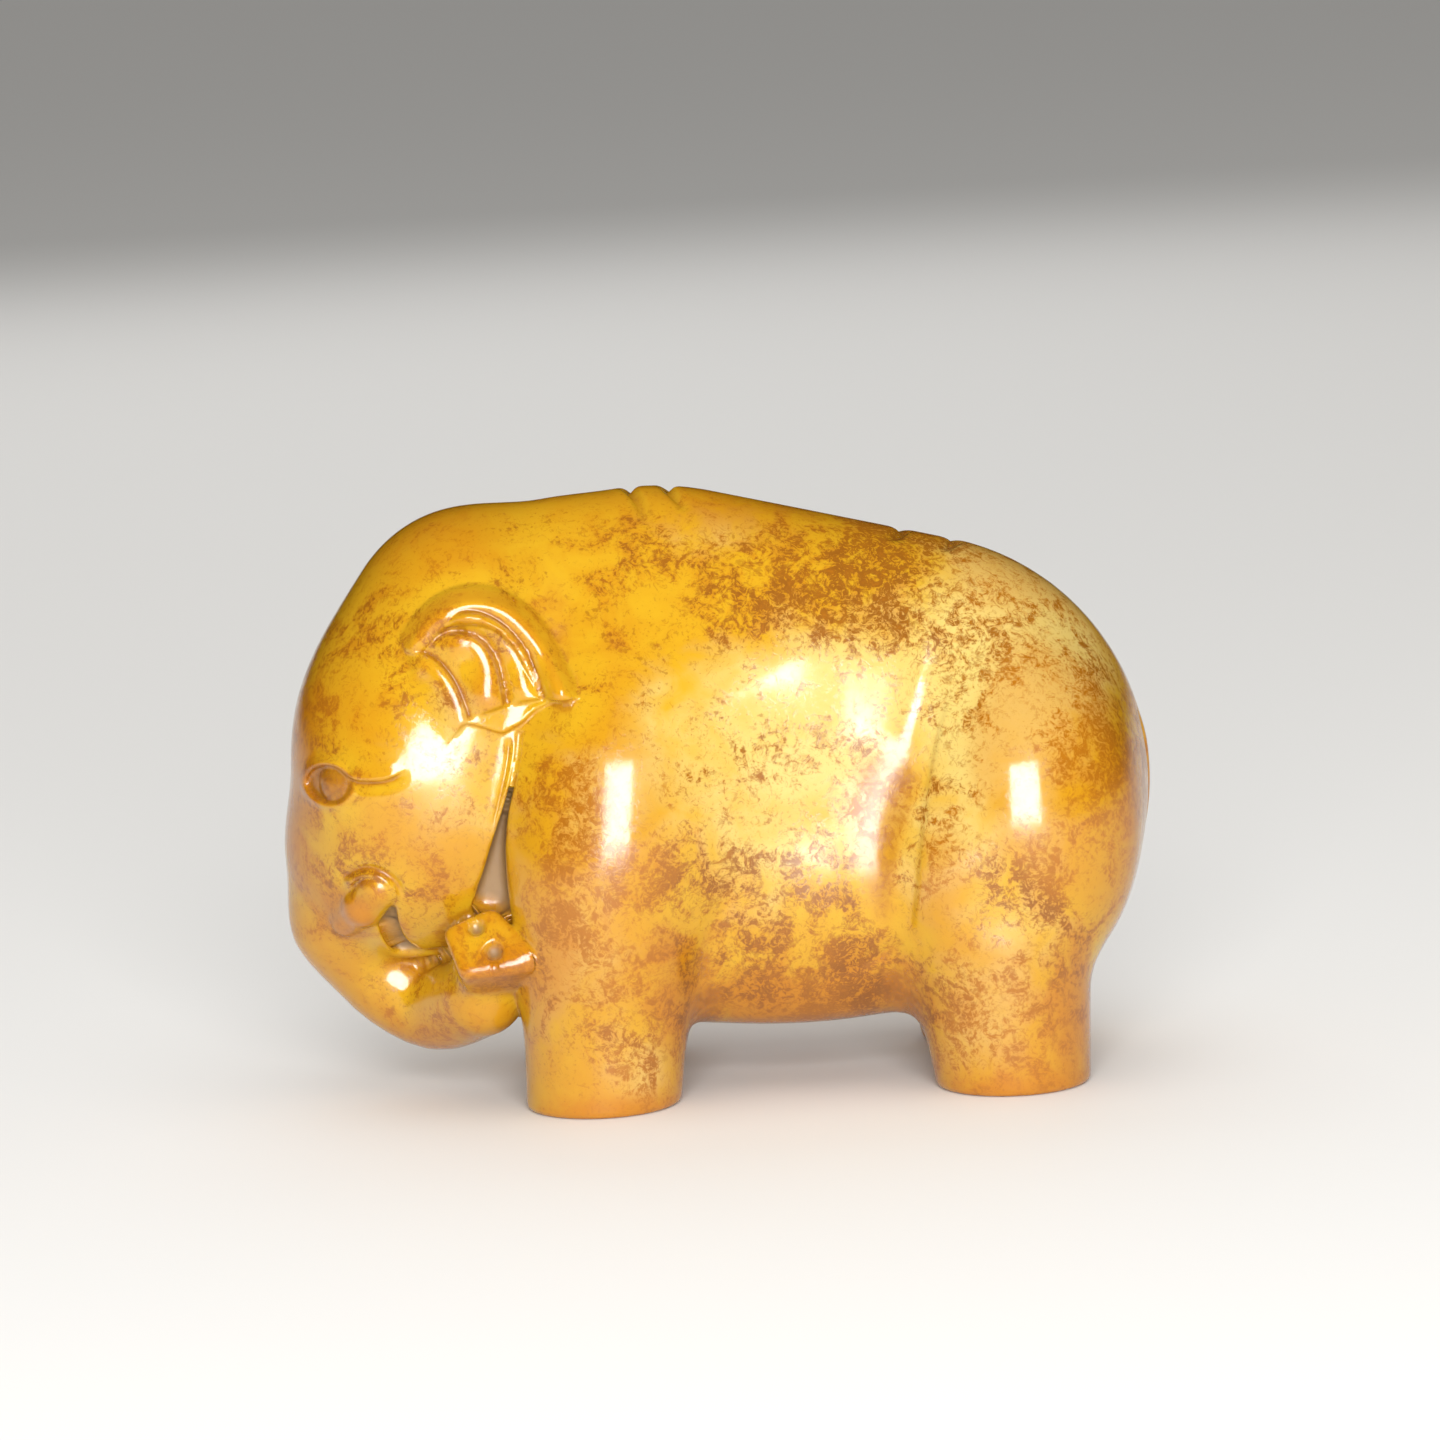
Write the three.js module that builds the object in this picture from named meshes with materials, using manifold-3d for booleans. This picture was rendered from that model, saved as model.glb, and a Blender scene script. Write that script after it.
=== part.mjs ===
// Jade elephant carving: a small standing elephant carved from one piece of yellow jade.
// Millimetres, +Z up, head toward -X, the side that the trunk curls to faces -Y.
// The origin is on the ground under the middle of the figure.

import * as THREE from 'three';
import { mergeVertices } from 'three/addons/utils/BufferGeometryUtils.js';
import Module from 'manifold-3d';

const wasm = await Module();
wasm.setup();

// Driving dimensions, millimetres
const LENGTH = 66;
const BELLY_CLEARANCE = 4.4;
const FORE_FOOT_DIAMETER = 11.5;
const HIND_FOOT_DIAMETER = 11.4;
const TRUNK_THICKNESS = 8.0;
const TRUNK_END_THICKNESS = 6.4;
const TRUNK_END_WIDTH = 6.6;
const NOSTRIL_DIAMETER = 1.1;
const NOSTRIL_DEPTH = 0.5;
const TUSK_DIAMETER = 3.4;
const TUSK_TIP_DIAMETER = 1.6;
const LIP_THICKNESS = 1.1;
const EYE_DIAMETER = 2.5;
const EYELID_THICKNESS = 0.9;
const EYE_CORNER_WIDTH = 0.8;
const EAR_RIM_THICKNESS = 2.8;
const EAR_FOLD_THICKNESS = 3.0;
const JAW_GROOVE_TOP_WIDTH = 0.8;
const JAW_GROOVE_FOOT_WIDTH = 2.3;
const JAW_GROOVE_DEPTH = 3.2;
const MOUTH_GAP_WIDTH = 1.2;
const MOUTH_GAP_DEPTH = 5.0;
const SPINE_NOTCH_WIDTH = 1.0;
const SPINE_NOTCH_DEPTH = 0.6;
const THIGH_GROOVE_WIDTH = 1.0;
const THIGH_GROOVE_DEPTH = 0.4;
const TAIL_THICKNESS = 2.6;
const TAIL_TUFT_THICKNESS = 3.4;

// Fineness, millimetres between the surface's points, and how exactly points are put on the skin
const TRUNK_STEP = 1.15;
const HEAD_STEP = 1.8;
const BODY_STEP = 3.1;
const GIRTH_STEP = 2.3;
const SKIN_TOLERANCE = 0.002;
const SLOPE_REACH = 0.05;

// Pose and proportions are in hundredths of the length.
// x runs from the middle to the tail, y to the far side and z up from the ground.
const SHARE = LENGTH / 100;
const share = (value) => value * SHARE;
const place = (x, y, z) => new THREE.Vector3(x, y, z).multiplyScalar(SHARE);

// Widths of the fillets where rounded forms flow together
const BODY_FILLET = share(4.5);
const BELLY_ROUNDING = share(3);
const LEG_FILLET = share(3.9);
const THIGH_FILLET = share(3.3);
const HEAD_FILLET = share(4);
const NECK_FILLET = share(2.4);
const TRUNK_FILLET = share(2.4);
const TRUNK_END_ROUNDING = share(1.2);

const JADE = new THREE.MeshStandardMaterial({ color: 0xd99a2b, roughness: 0.22, metalness: 0 });

// Joins two distances to a surface with a fillet of about the given width.
function join(a, b, fillet) {
  const h = THREE.MathUtils.clamp(0.5 + (0.5 * (b - a)) / fillet, 0, 1);
  return b + (a - b) * h - fillet * h * (1 - h);
}

// Keeps what lies inside both, with a rounded edge of about the given width.
function common(a, b, fillet) {
  return -join(-a, -b, fillet);
}

// Distance to an egg: an ellipsoid leaning about Y, with a flatter or rounder power
// and its own radius toward the tail.
function egg({ centre, radii, lean = 0, power = 2, rear = radii.x }) {
  const turn = THREE.MathUtils.degToRad(lean);
  const cos = Math.cos(turn);
  const sin = Math.sin(turn);
  return (p) => {
    const dx = cos * (p.x - centre.x) + sin * (p.z - centre.z);
    const dz = cos * (p.z - centre.z) - sin * (p.x - centre.x);
    const size = [dx > 0 ? rear : radii.x, radii.y, radii.z];
    const ratio = [dx, p.y - centre.y, dz].map((d, i) => Math.abs(d) / size[i] + 1e-6);
    const sum = ratio.reduce((total, r) => total + r ** power, 0);
    const slopes = ratio.map((r, i) => (sum ** (1 / power - 1) * r ** (power - 1)) / size[i]);
    return (sum ** (1 / power) - 1) / Math.hypot(...slopes);
  };
}

// Distance to a round cone between two balls, its width in Y multiplied by a spread.
function taper(start, end, startRadius, endRadius, spread = 1) {
  const axis = new THREE.Vector3(end.x - start.x, (end.y - start.y) / spread, end.z - start.z);
  const length = axis.length();
  axis.divideScalar(length);
  const slope = (startRadius - endRadius) / length;
  const lead = slope / Math.sqrt(1 - slope * slope);
  const offset = new THREE.Vector3();
  return (p) => {
    offset.set(p.x - start.x, (p.y - start.y) / spread, p.z - start.z);
    const along = offset.dot(axis);
    const across = Math.sqrt(Math.max(offset.lengthSq() - along * along, 0));
    const reach = THREE.MathUtils.clamp(along - across * lead, 0, length);
    offset.addScaledVector(axis, -reach);
    const radius = startRadius + ((endRadius - startRadius) * reach) / length;
    return (offset.length() - radius) * Math.min(1, (spread + 1) / 2);
  };
}

// The barrel of the body, from the hump over the shoulders down to the rump
const barrel = taper(place(-6.2, 0, 37), place(21.6, 0, 33), share(31.2), share(28.2), 0.755);
const paunch = egg({ centre: place(9, 8.5, 20.8), radii: place(20.5, 14.2, 15.2) });
const nape = egg({ centre: place(-17.5, 0, 46.4), radii: place(16.5, 19.3, 19.4) });

// The legs, which run on a little below the ground until the soles are cut flat
const FORE_FOOT = place(-14.3, 13.6, 0);
const HIND_FOOT = place(32.1, 13.6, 0);
const SOLE_ALLOWANCE = share(5);
const foreLeg = taper(place(-12.1, 13, 31.8), FORE_FOOT, share(11.4), FORE_FOOT_DIAMETER / 2);
const hindLeg = taper(place(31, 13.3, 16.7), HIND_FOOT, share(10.6), HIND_FOOT_DIAMETER / 2);
const thigh = egg({ centre: place(34.4, 10.9, 27.2), radii: place(13.4, 13.8, 19.2) });

// The head: a domed skull over a long cheek that ends square behind the jaw
const skull = egg({ centre: place(-26.2, 0, 48.6), radii: place(16.6, 17.6, 18.2) });
const cheek = egg({
  centre: place(-33, 0, 34.6), radii: place(14.8, 19.1, 20), lean: 12, power: 2.4, rear: share(10.4),
});

// The trunk hangs from the face, curls back under the jaw and comes up beside the near foreleg
const TRUNK_ROOT = place(-39.4, 0, 27.3);
const TRUNK_PATH = [
  place(-42.7, 0, 20.5), place(-38.2, 0, 14.2), place(-32.6, -1.5, 10.3), place(-27.6, -8.3, 12.3),
];
const TRUNK_END = place(-25.8, -17, 20.6);
const TRUNK_END_AXIS = new THREE.Vector3(-0.1, -0.86, 0.5).normalize();
const trunkRoot = taper(TRUNK_ROOT, TRUNK_PATH[0], share(10.5), share(6.3), 1.1);
const trunkRadius = (joint) => (
  THREE.MathUtils.lerp(TRUNK_THICKNESS, TRUNK_END_THICKNESS, joint / (TRUNK_PATH.length - 1)) / 2
);
const trunkParts = TRUNK_PATH.slice(1).map((joint, i) => (
  taper(TRUNK_PATH[i], joint, trunkRadius(i), trunkRadius(i + 1), 1.05)
));

// The end of the trunk is a block with a flat face, narrower at the top, slanting along the leg
const endRight = new THREE.Vector3(1, 0, 0).projectOnPlane(TRUNK_END_AXIS).normalize();
const endUp = new THREE.Vector3().crossVectors(TRUNK_END_AXIS, endRight).negate();
const END_SIDES = [
  { right: -0.97, up: -0.23, reach: TRUNK_END_WIDTH * 0.46 },
  { right: -0.3, up: 0.95, reach: TRUNK_END_WIDTH * 0.42 },
  { right: 0.73, up: 0.68, reach: TRUNK_END_WIDTH * 0.36 },
  { right: 0.1, up: -0.99, reach: TRUNK_END_WIDTH * 0.4 },
];

function trunkEnd(p) {
  const offset = p.clone().sub(TRUNK_END);
  const right = offset.dot(endRight);
  const up = offset.dot(endUp);
  const out = offset.dot(TRUNK_END_AXIS);
  const sides = END_SIDES.map((side) => side.right * right + side.up * up - side.reach);
  const walls = sides.reduce((a, b) => common(a, b, TRUNK_END_ROUNDING));
  const block = common(walls, out, TRUNK_END_ROUNDING);
  return common(block, -out - TRUNK_END_THICKNESS, TRUNK_END_ROUNDING);
}

// Distance from a point to the body, legs and head before the fine carving; negative inside.
function torso(p) {
  const half = new THREE.Vector3(p.x, Math.abs(p.y), p.z);
  const fuller = join(barrel(half), paunch(half), BODY_FILLET);
  const underside = BELLY_CLEARANCE - p.z;
  const body = join(common(fuller, underside, BELLY_ROUNDING), nape(half), BODY_FILLET);
  const hind = join(hindLeg(half), thigh(half), BODY_FILLET);
  const quarters = join(join(body, foreLeg(half), LEG_FILLET), hind, THIGH_FILLET);
  const face = join(join(skull(half), cheek(half), HEAD_FILLET), trunkRoot(half), TRUNK_FILLET);
  return Math.max(join(quarters, face, NECK_FILLET), -SOLE_ALLOWANCE - p.z);
}

// Distance to the curled part of the trunk.
function curl(p) {
  const hanging = trunkParts.map((part) => part(p)).reduce((a, b) => join(a, b, TRUNK_FILLET));
  return join(hanging, trunkEnd(p), TRUNK_FILLET);
}

const figure = (p) => Math.min(torso(p), curl(p));

// Unit vector square to a surface, the figure's own unless another is named.
function outward(p, distance = figure) {
  const slope = ['x', 'y', 'z'].map((axis) => {
    const ahead = p.clone();
    const behind = p.clone();
    ahead[axis] += SLOPE_REACH;
    behind[axis] -= SLOPE_REACH;
    return distance(ahead) - distance(behind);
  });
  return new THREE.Vector3(...slope).normalize();
}

// The point where a straight line from outside first meets the figure, found in cautious strides.
function meet(start, direction, stride = 0.7, mostStrides = 200) {
  const p = start.clone();
  let gap = figure(p);
  for (let i = 0; i < mostStrides && Math.abs(gap) > SKIN_TOLERANCE; i += 1) {
    p.addScaledVector(direction, gap * stride);
    gap = figure(p);
  }
  return p;
}

// A point on the near (-1) or far (1) flank, from its place in the side view.
const flank = (x, z, side) => meet(place(x, side * 40, z), new THREE.Vector3(0, -side, 0));

// Places of planes from low to high, with a step that may change on the way.
function planes(low, high, stepAt) {
  const list = [low];
  while (list[list.length - 1] < high) {
    const last = list[list.length - 1];
    list.push(last + stepAt(last));
  }
  return list;
}

// A box of the grid has eight corners, numbered by three bits, one for each axis. Its six sides
// each go round four of them, and an edge is named by its two corners.
const BOX_SIDES = [[0, 1, 2], [1, 2, 0], [2, 0, 1]].flatMap(([axis, u, v]) => [0, 1].map((end) => {
  const first = end << axis;
  return [first, first | (1 << u), first | (1 << u) | (1 << v), first | (1 << v)];
}));
const edgeName = (p, q) => Math.min(p, q) * 8 + Math.max(p, q);

// Which sheet of the surface each crossed edge of a box belongs to. On a side with four crossings
// the two inside corners stay apart, so neighbouring boxes always agree.
function sheetsIn(inside) {
  const sheet = new Map();
  for (const loop of BOX_SIDES) {
    loop.forEach((corner, n) => {
      const next = loop[(n + 1) % 4];
      const name = edgeName(corner, next);
      if (inside[corner] !== inside[next] && !sheet.has(name)) {
        sheet.set(name, name);
      }
    });
  }
  const link = (a, b) => {
    const [from, to] = [sheet.get(a), sheet.get(b)];
    sheet.forEach((value, name) => sheet.set(name, value === from ? to : value));
  };
  for (const loop of BOX_SIDES) {
    const names = loop.map((corner, n) => edgeName(corner, loop[(n + 1) % 4]));
    const crossed = names.filter((name) => sheet.has(name));
    if (crossed.length === 2) {
      link(...crossed);
    } else if (crossed.length === 4) {
      loop.forEach((corner, n) => inside[corner] && link(names[(n + 3) % 4], names[n]));
    }
  }
  return sheet;
}

// The closed surface of a distance function over a grid of boxes: in each box one point for each
// sheet of the surface, moved onto it, and one four-sided face for each crossed edge of the grid.
function surfaceOf(distance, planesOf) {
  const [nx, ny] = planesOf.map((list) => list.length);
  const at = ([i, j, k]) => (k * ny + j) * nx + i;
  const corner = (index) => new THREE.Vector3(...index.map((n, axis) => planesOf[axis][n]));
  const shifted = (index, bits) => index.map((n, axis) => n + ((bits >> axis) & 1));
  const values = new Float64Array(planesOf.reduce((total, list) => total * list.length, 1));
  const indices = [];
  planesOf[2].forEach((z, k) => planesOf[1].forEach((y, j) => planesOf[0].forEach((x, i) => {
    values[at([i, j, k])] = distance(new THREE.Vector3(x, y, z));
    indices.push([i, j, k]);
  })));
  const points = [];
  const boxes = new Map();

  function crossing(box, name) {
    const [start, end] = [name >> 3, name & 7].map((bits) => shifted(box, bits));
    const [a, b] = [values[at(start)], values[at(end)]];
    return corner(start).lerp(corner(end), a / (a - b));
  }

  function sheetPoints(box) {
    const inside = Array.from({ length: 8 }, (_, bits) => values[at(shifted(box, bits))] < 0);
    const sheet = sheetsIn(inside);
    const made = new Map();
    const pointOf = new Map();
    sheet.forEach((value, name) => {
      if (!made.has(value)) {
        const members = [...sheet.keys()].filter((other) => sheet.get(other) === value);
        const middle = new THREE.Vector3();
        members.forEach((member) => middle.addScaledVector(crossing(box, member), 1 / members.length));
        const limit = corner(box).distanceTo(corner(shifted(box, 7))) / 6;
        for (let step = 0; step < 3; step += 1) {
          const gap = THREE.MathUtils.clamp(distance(middle), -limit, limit);
          middle.addScaledVector(outward(middle, distance), -gap);
        }
        points.push(middle);
        made.set(value, points.length - 1);
      }
      pointOf.set(name, made.get(value));
    });
    return pointOf;
  }

  function pointIn(box, name) {
    const key = at(box);
    if (!boxes.has(key)) {
      boxes.set(key, sheetPoints(box));
    }
    return boxes.get(key).get(name);
  }

  const faces = [];
  for (const index of indices) {
    for (const [axis, u, v] of [[0, 1, 2], [1, 2, 0], [2, 0, 1]]) {
      const end = shifted(index, 1 << axis);
      const inRange = index[u] > 0 && index[v] > 0 && end[axis] < planesOf[axis].length
        && index[u] < planesOf[u].length - 1 && index[v] < planesOf[v].length - 1;
      const here = values[at(index)] < 0;
      if (inRange && here !== values[at(end)] < 0) {
        const ring = [[1, 1], [0, 1], [0, 0], [1, 0]].map(([du, dv]) => {
          const box = index.slice();
          box[u] -= du;
          box[v] -= dv;
          const start = (du << u) | (dv << v);
          return pointIn(box, edgeName(start, start | (1 << axis)));
        });
        const [a, b, c, d] = here ? ring : ring.reverse();
        const short = points[a].distanceTo(points[c]) < points[b].distanceTo(points[d]);
        faces.push(...(short ? [a, b, c, a, c, d] : [b, c, d, b, d, a]));
      }
    }
  }
  return solid(points.flatMap((point) => point.toArray()), faces);
}

// A solid for joining and cutting, from coordinates and triangles.
function solid(coordinates, triangles) {
  const mesh = new wasm.Mesh({
    numProp: 3, vertProperties: new Float32Array(coordinates), triVerts: new Uint32Array(triangles),
  });
  return new wasm.Manifold(mesh);
}

// A solid from a closed three.js geometry.
function solidOf(geometry) {
  geometry.deleteAttribute('normal');
  geometry.deleteAttribute('uv');
  const merged = mergeVertices(geometry, 1e-4);
  return solid(merged.attributes.position.array, merged.index.array);
}

// A closed solid through rings that all have the same number of points, closed at both ends.
function loft(rings) {
  const size = rings[0].length;
  const points = rings.flat();
  const triangles = [];
  for (let ring = 0; ring < rings.length - 1; ring += 1) {
    for (let i = 0; i < size; i += 1) {
      const a = ring * size + i;
      const b = ring * size + ((i + 1) % size);
      triangles.push(a, b, b + size, a, b + size, a + size);
    }
  }
  for (let i = 1; i < size - 1; i += 1) {
    const last = (rings.length - 1) * size;
    triangles.push(0, i + 1, i, last, last + i, last + i + 1);
  }
  const made = solid(points.flatMap((point) => point.toArray()), triangles);
  if (made.volume() > 0) {
    return made;
  }
  for (let i = 0; i < triangles.length; i += 3) {
    triangles.splice(i, 2, triangles[i + 1], triangles[i]);
  }
  return solid(points.flatMap((point) => point.toArray()), triangles);
}

// Points spaced evenly along a smooth curve through the given ones.
const along = (points, count) => new THREE.CatmullRomCurve3(points, false, 'centripetal').getPoints(count);

// A rib lying on the skin through the given points: its middle is sunk by a share of its radius,
// which follows the given profile of (place from 0 to 1) -> share of the thickness.
function rib(skinPoints, thickness, { steps, sides = 8, sink, profile = () => 1 }) {
  const path = along(skinPoints, steps);
  return loft(path.map((point, i) => {
    const ahead = path[Math.min(i + 1, steps)];
    const behind = path[Math.max(i - 1, 0)];
    const forward = ahead.clone().sub(behind).normalize();
    const up = outward(point);
    const across = new THREE.Vector3().crossVectors(forward, up).normalize();
    const radius = (thickness / 2) * profile(i / steps);
    const middle = point.clone().addScaledVector(up, -sink * radius);
    return Array.from({ length: sides }, (_, n) => {
      const angle = (n / sides) * 2 * Math.PI;
      return middle.clone()
        .addScaledVector(across, radius * Math.cos(angle))
        .addScaledVector(up, radius * Math.sin(angle));
    });
  }));
}

// A V-shaped cutter along points on the skin, as wide and deep as asked at the skin. It stands as
// far above the skin as it goes below, and runs out to nearly nothing at both ends.
function notch(skinPoints, width, depth, steps) {
  const path = along(skinPoints, steps);
  return loft(path.map((point, i) => {
    const ahead = path[Math.min(i + 1, steps)];
    const behind = path[Math.max(i - 1, 0)];
    const up = outward(point);
    const across = new THREE.Vector3().crossVectors(ahead.clone().sub(behind), up).normalize();
    const ease = Math.sqrt(Math.sin(Math.PI * THREE.MathUtils.clamp(i / steps, 0.04, 0.96)));
    const floor = point.clone().addScaledVector(up, -depth * ease);
    const rim = point.clone().addScaledVector(up, depth);
    const spread = width * ease;
    return [floor, rim.clone().addScaledVector(across, spread), rim.clone().addScaledVector(across, -spread)];
  }));
}

// A slot cut straight into one flank along a curve of the side view, as wide at each end as asked.
function slot(route, side, { startWidth, endWidth, depth, steps = 6 }) {
  const path = along(route.map(([x, z]) => flank(x, z, side)), steps);
  return loft(path.map((point, i) => {
    const ahead = path[Math.min(i + 1, steps)];
    const behind = path[Math.max(i - 1, 0)];
    const across = new THREE.Vector3(behind.z - ahead.z, 0, ahead.x - behind.x).normalize();
    const half = THREE.MathUtils.lerp(startWidth, endWidth, i / steps) / 2;
    const outer = point.clone().setY(side * share(30));
    const inner = point.clone().setY(point.y - side * depth);
    const shoulder = point.clone().setY(point.y - side * depth * 0.85);
    return [
      outer.clone().addScaledVector(across, half), shoulder.clone().addScaledVector(across, half),
      inner.clone().addScaledVector(across, half * 0.4), inner.clone().addScaledVector(across, -half * 0.4),
      shoulder.clone().addScaledVector(across, -half), outer.clone().addScaledVector(across, -half),
    ];
  }));
}

const flankLine = (route, side) => route.map(([x, z]) => flank(x, z, side));

// Profiles of ribs: a blunt far end, full in the middle, and fuller toward the end.
const closing = (t) => Math.sqrt(1 - THREE.MathUtils.smoothstep(t, 0.85, 1.15) ** 2);
const swell = (t) => 0.4 + 0.6 * Math.sin(Math.PI * THREE.MathUtils.lerp(0.1, 0.9, t));
const widen = (t) => (0.5 + 0.5 * Math.min(1, 1.6 * t)) * closing(t);

// The ear: a thick rolled rim and two folds nested inside it, fanning out from the temple
const EAR_RIM = [
  [-33.5, 56.2], [-30.4, 58], [-26.7, 59.1], [-23, 58.5],
  [-20, 56], [-18, 52.6], [-16.9, 49.4], [-16.4, 47.4],
];
const EAR_FOLDS = [
  [[-29.8, 55.6], [-26.8, 56.2], [-24.2, 55], [-22.3, 52.4], [-21.4, 49.4], [-21, 46.8]],
  [[-32.4, 54], [-29.2, 53.6], [-27, 52], [-25.7, 49.6], [-25, 47.3], [-24.6, 45.4]],
];

function ear(side) {
  const rim = rib(flankLine(EAR_RIM, side), EAR_RIM_THICKNESS, { steps: 11, sink: 0.35, profile: widen });
  const folds = EAR_FOLDS.map((route) => (
    rib(flankLine(route, side), EAR_FOLD_THICKNESS, { steps: 8, sink: 0.5, profile: widen })
  ));
  return [rim, ...folds];
}

// The eye: a ball between two lids, with a long corner cut back toward the ear
const EYE = [-43.2, 37.4];
const UPPER_LID = [[-46, 37.2], [-44.9, 39.4], [-43, 40.1], [-41.2, 39], [-39.8, 37.6]];
const LOWER_LID = [[-46, 37.2], [-45, 35.2], [-43.2, 34.5], [-41.4, 35.6], [-39.8, 37.6]];
const EYE_CORNER = [[-41.2, 37.5], [-37.6, 37.4], [-35.6, 38], [-34.4, 38.8]];

function eye(side) {
  const centre = flank(...EYE, side);
  centre.addScaledVector(outward(centre), -EYE_DIAMETER * 0.28);
  const ball = solidOf(new THREE.SphereGeometry(EYE_DIAMETER / 2, 10, 7).translate(...centre.toArray()));
  const lids = [UPPER_LID, LOWER_LID].map((route) => (
    rib(flankLine(route, side), EYELID_THICKNESS, { steps: 6, sides: 5, sink: 0.1 })
  ));
  return [ball, ...lids];
}

// The tusk: a short blunt cone that comes from under the lip and lies along the trunk
const TUSK_ROUTE = [[-38, 27.4], [-40.4, 25.2], [-42.4, 22.8]];
const LIP_ROUTE = [[-42.2, 25.6], [-41.2, 27.6], [-39.2, 28.6], [-37.2, 27.6], [-36.2, 25.8]];

function tusk(side) {
  const blunt = (t) => THREE.MathUtils.lerp(1, TUSK_TIP_DIAMETER / TUSK_DIAMETER, t * t);
  return [
    rib(flankLine(TUSK_ROUTE, side), TUSK_DIAMETER, { steps: 6, sink: 0.3, profile: blunt }),
    rib(flankLine(LIP_ROUTE, side), LIP_THICKNESS, { steps: 7, sides: 6, sink: 0.2, profile: swell }),
  ];
}

// The tail lies in low relief down the middle of the rump and ends in a tuft
const TAIL_HEIGHTS = [40, 35, 29, 23, 18];

function tail() {
  const route = TAIL_HEIGHTS.map((z) => meet(place(70, 0, z), new THREE.Vector3(-1, 0, 0)));
  const fuller = TAIL_TUFT_THICKNESS / TAIL_THICKNESS;
  const tuft = (t) => THREE.MathUtils.lerp(0.4, fuller, THREE.MathUtils.smoothstep(t, 0, 0.9)) * closing(t);
  return rib(route, TAIL_THICKNESS, { steps: 8, sink: 0.7, profile: tuft });
}

// Slanted notches in two pairs across the spine: over the shoulders and over the rump
const SPINE_NOTCHES = [
  { spine: -7.6, foot: -4.4, reach: 9.8 },
  { spine: -3.3, foot: -1.2, reach: 7.6 },
  { spine: 23.3, foot: 20.6, reach: 7 },
  { spine: 29.1, foot: 26.6, reach: 7 },
];

function spineNotch({ spine, foot, reach }) {
  const spread = [-1, -0.6, -0.25, 0, 0.25, 0.6, 1];
  const route = spread.map((y) => (
    meet(place(THREE.MathUtils.lerp(spine, foot, Math.abs(y)), y * reach, 90), new THREE.Vector3(0, 0, -1))
  ));
  return notch(route, SPINE_NOTCH_WIDTH, SPINE_NOTCH_DEPTH, 8);
}

// Cuts behind the jaw, between jaw and trunk, before the thigh and at the eye's corner
const JAW_GROOVE = [[-20.6, 43.6], [-22.2, 37.6], [-23.8, 31.2], [-25.2, 25.4]];
const MOUTH_GAP = [[-36.6, 23.4], [-37, 20.4], [-35.6, 17.6], [-33, 16.6]];
const THIGH_GROOVE = [[26.4, 46], [24.4, 40], [23.2, 33], [22.4, 26], [21.4, 19]];

function sideCuts(side) {
  return [
    slot(JAW_GROOVE, side, {
      startWidth: JAW_GROOVE_TOP_WIDTH, endWidth: JAW_GROOVE_FOOT_WIDTH, depth: JAW_GROOVE_DEPTH,
    }),
    slot(MOUTH_GAP, side, { startWidth: MOUTH_GAP_WIDTH, endWidth: MOUTH_GAP_WIDTH, depth: MOUTH_GAP_DEPTH }),
    notch(flankLine(THIGH_GROOVE, side), THIGH_GROOVE_WIDTH, THIGH_GROOVE_DEPTH, 8),
    notch(flankLine(EYE_CORNER, side), EYE_CORNER_WIDTH, EYE_CORNER_WIDTH / 2, 5),
  ];
}

// Two nostrils side by side in the flat end of the trunk
const NOSTRILS = [{ right: -0.16, up: 0.16 }, { right: 0.08, up: -0.14 }];

function nostril({ right, up }) {
  const centre = TRUNK_END.clone()
    .addScaledVector(endRight, right * TRUNK_END_WIDTH)
    .addScaledVector(endUp, up * TRUNK_END_WIDTH)
    .addScaledVector(TRUNK_END_AXIS, NOSTRIL_DIAMETER / 2 - NOSTRIL_DEPTH);
  return solidOf(new THREE.SphereGeometry(NOSTRIL_DIAMETER / 2, 8, 6).translate(...centre.toArray()));
}

// The ground: a slab whose top cuts the soles flat
function ground() {
  const depth = share(20);
  const slab = new THREE.BoxGeometry(LENGTH * 2, LENGTH * 2, depth).translate(0, 0, -depth / 2);
  return solidOf(slab);
}

function elephant() {
  const edge = share(5);
  const headEnd = share(-14);
  const form = surfaceOf(torso, [
    planes(share(-50) - edge, share(50) + edge, (x) => (x < headEnd ? HEAD_STEP : BODY_STEP)),
    planes(share(-27) - edge, share(27) + edge, () => GIRTH_STEP),
    planes(-SOLE_ALLOWANCE - edge, share(70) + edge, () => GIRTH_STEP),
  ]);
  const trunk = surfaceOf(curl, [
    planes(share(-55), share(-10), () => TRUNK_STEP),
    planes(share(-30), share(15), () => TRUNK_STEP),
    planes(0, share(35), () => TRUNK_STEP),
  ]);
  const sides = [-1, 1];
  const raised = [...sides.flatMap((side) => [...ear(side), ...eye(side), ...tusk(side)]), tail()];
  const cut = [
    ...sides.flatMap(sideCuts), ...SPINE_NOTCHES.map(spineNotch), ...NOSTRILS.map(nostril), ground(),
  ];
  const joined = [trunk, ...raised].reduce((whole, piece) => whole.add(piece), form);
  const carved = cut.reduce((whole, piece) => whole.subtract(piece), joined);
  const { vertProperties, triVerts } = carved.getMesh();
  const geometry = new THREE.BufferGeometry();
  geometry.setAttribute('position', new THREE.BufferAttribute(vertProperties, 3));
  geometry.setIndex(new THREE.BufferAttribute(triVerts, 1));
  geometry.computeVertexNormals();
  const mesh = new THREE.Mesh(geometry, JADE);
  mesh.name = 'elephant';
  return mesh;
}

// The figure stands with the middle of its length over the origin.
const carving = new THREE.Group();
const figureMesh = elephant();
const extent = new THREE.Box3().setFromObject(figureMesh);
figureMesh.position.x = -(extent.min.x + extent.max.x) / 2;
carving.add(figureMesh);

export default carving;
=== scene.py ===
import math

import bpy
import numpy as np
from bpy.props import FloatProperty, FloatVectorProperty, PointerProperty
from mathutils import Matrix, Vector


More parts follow.
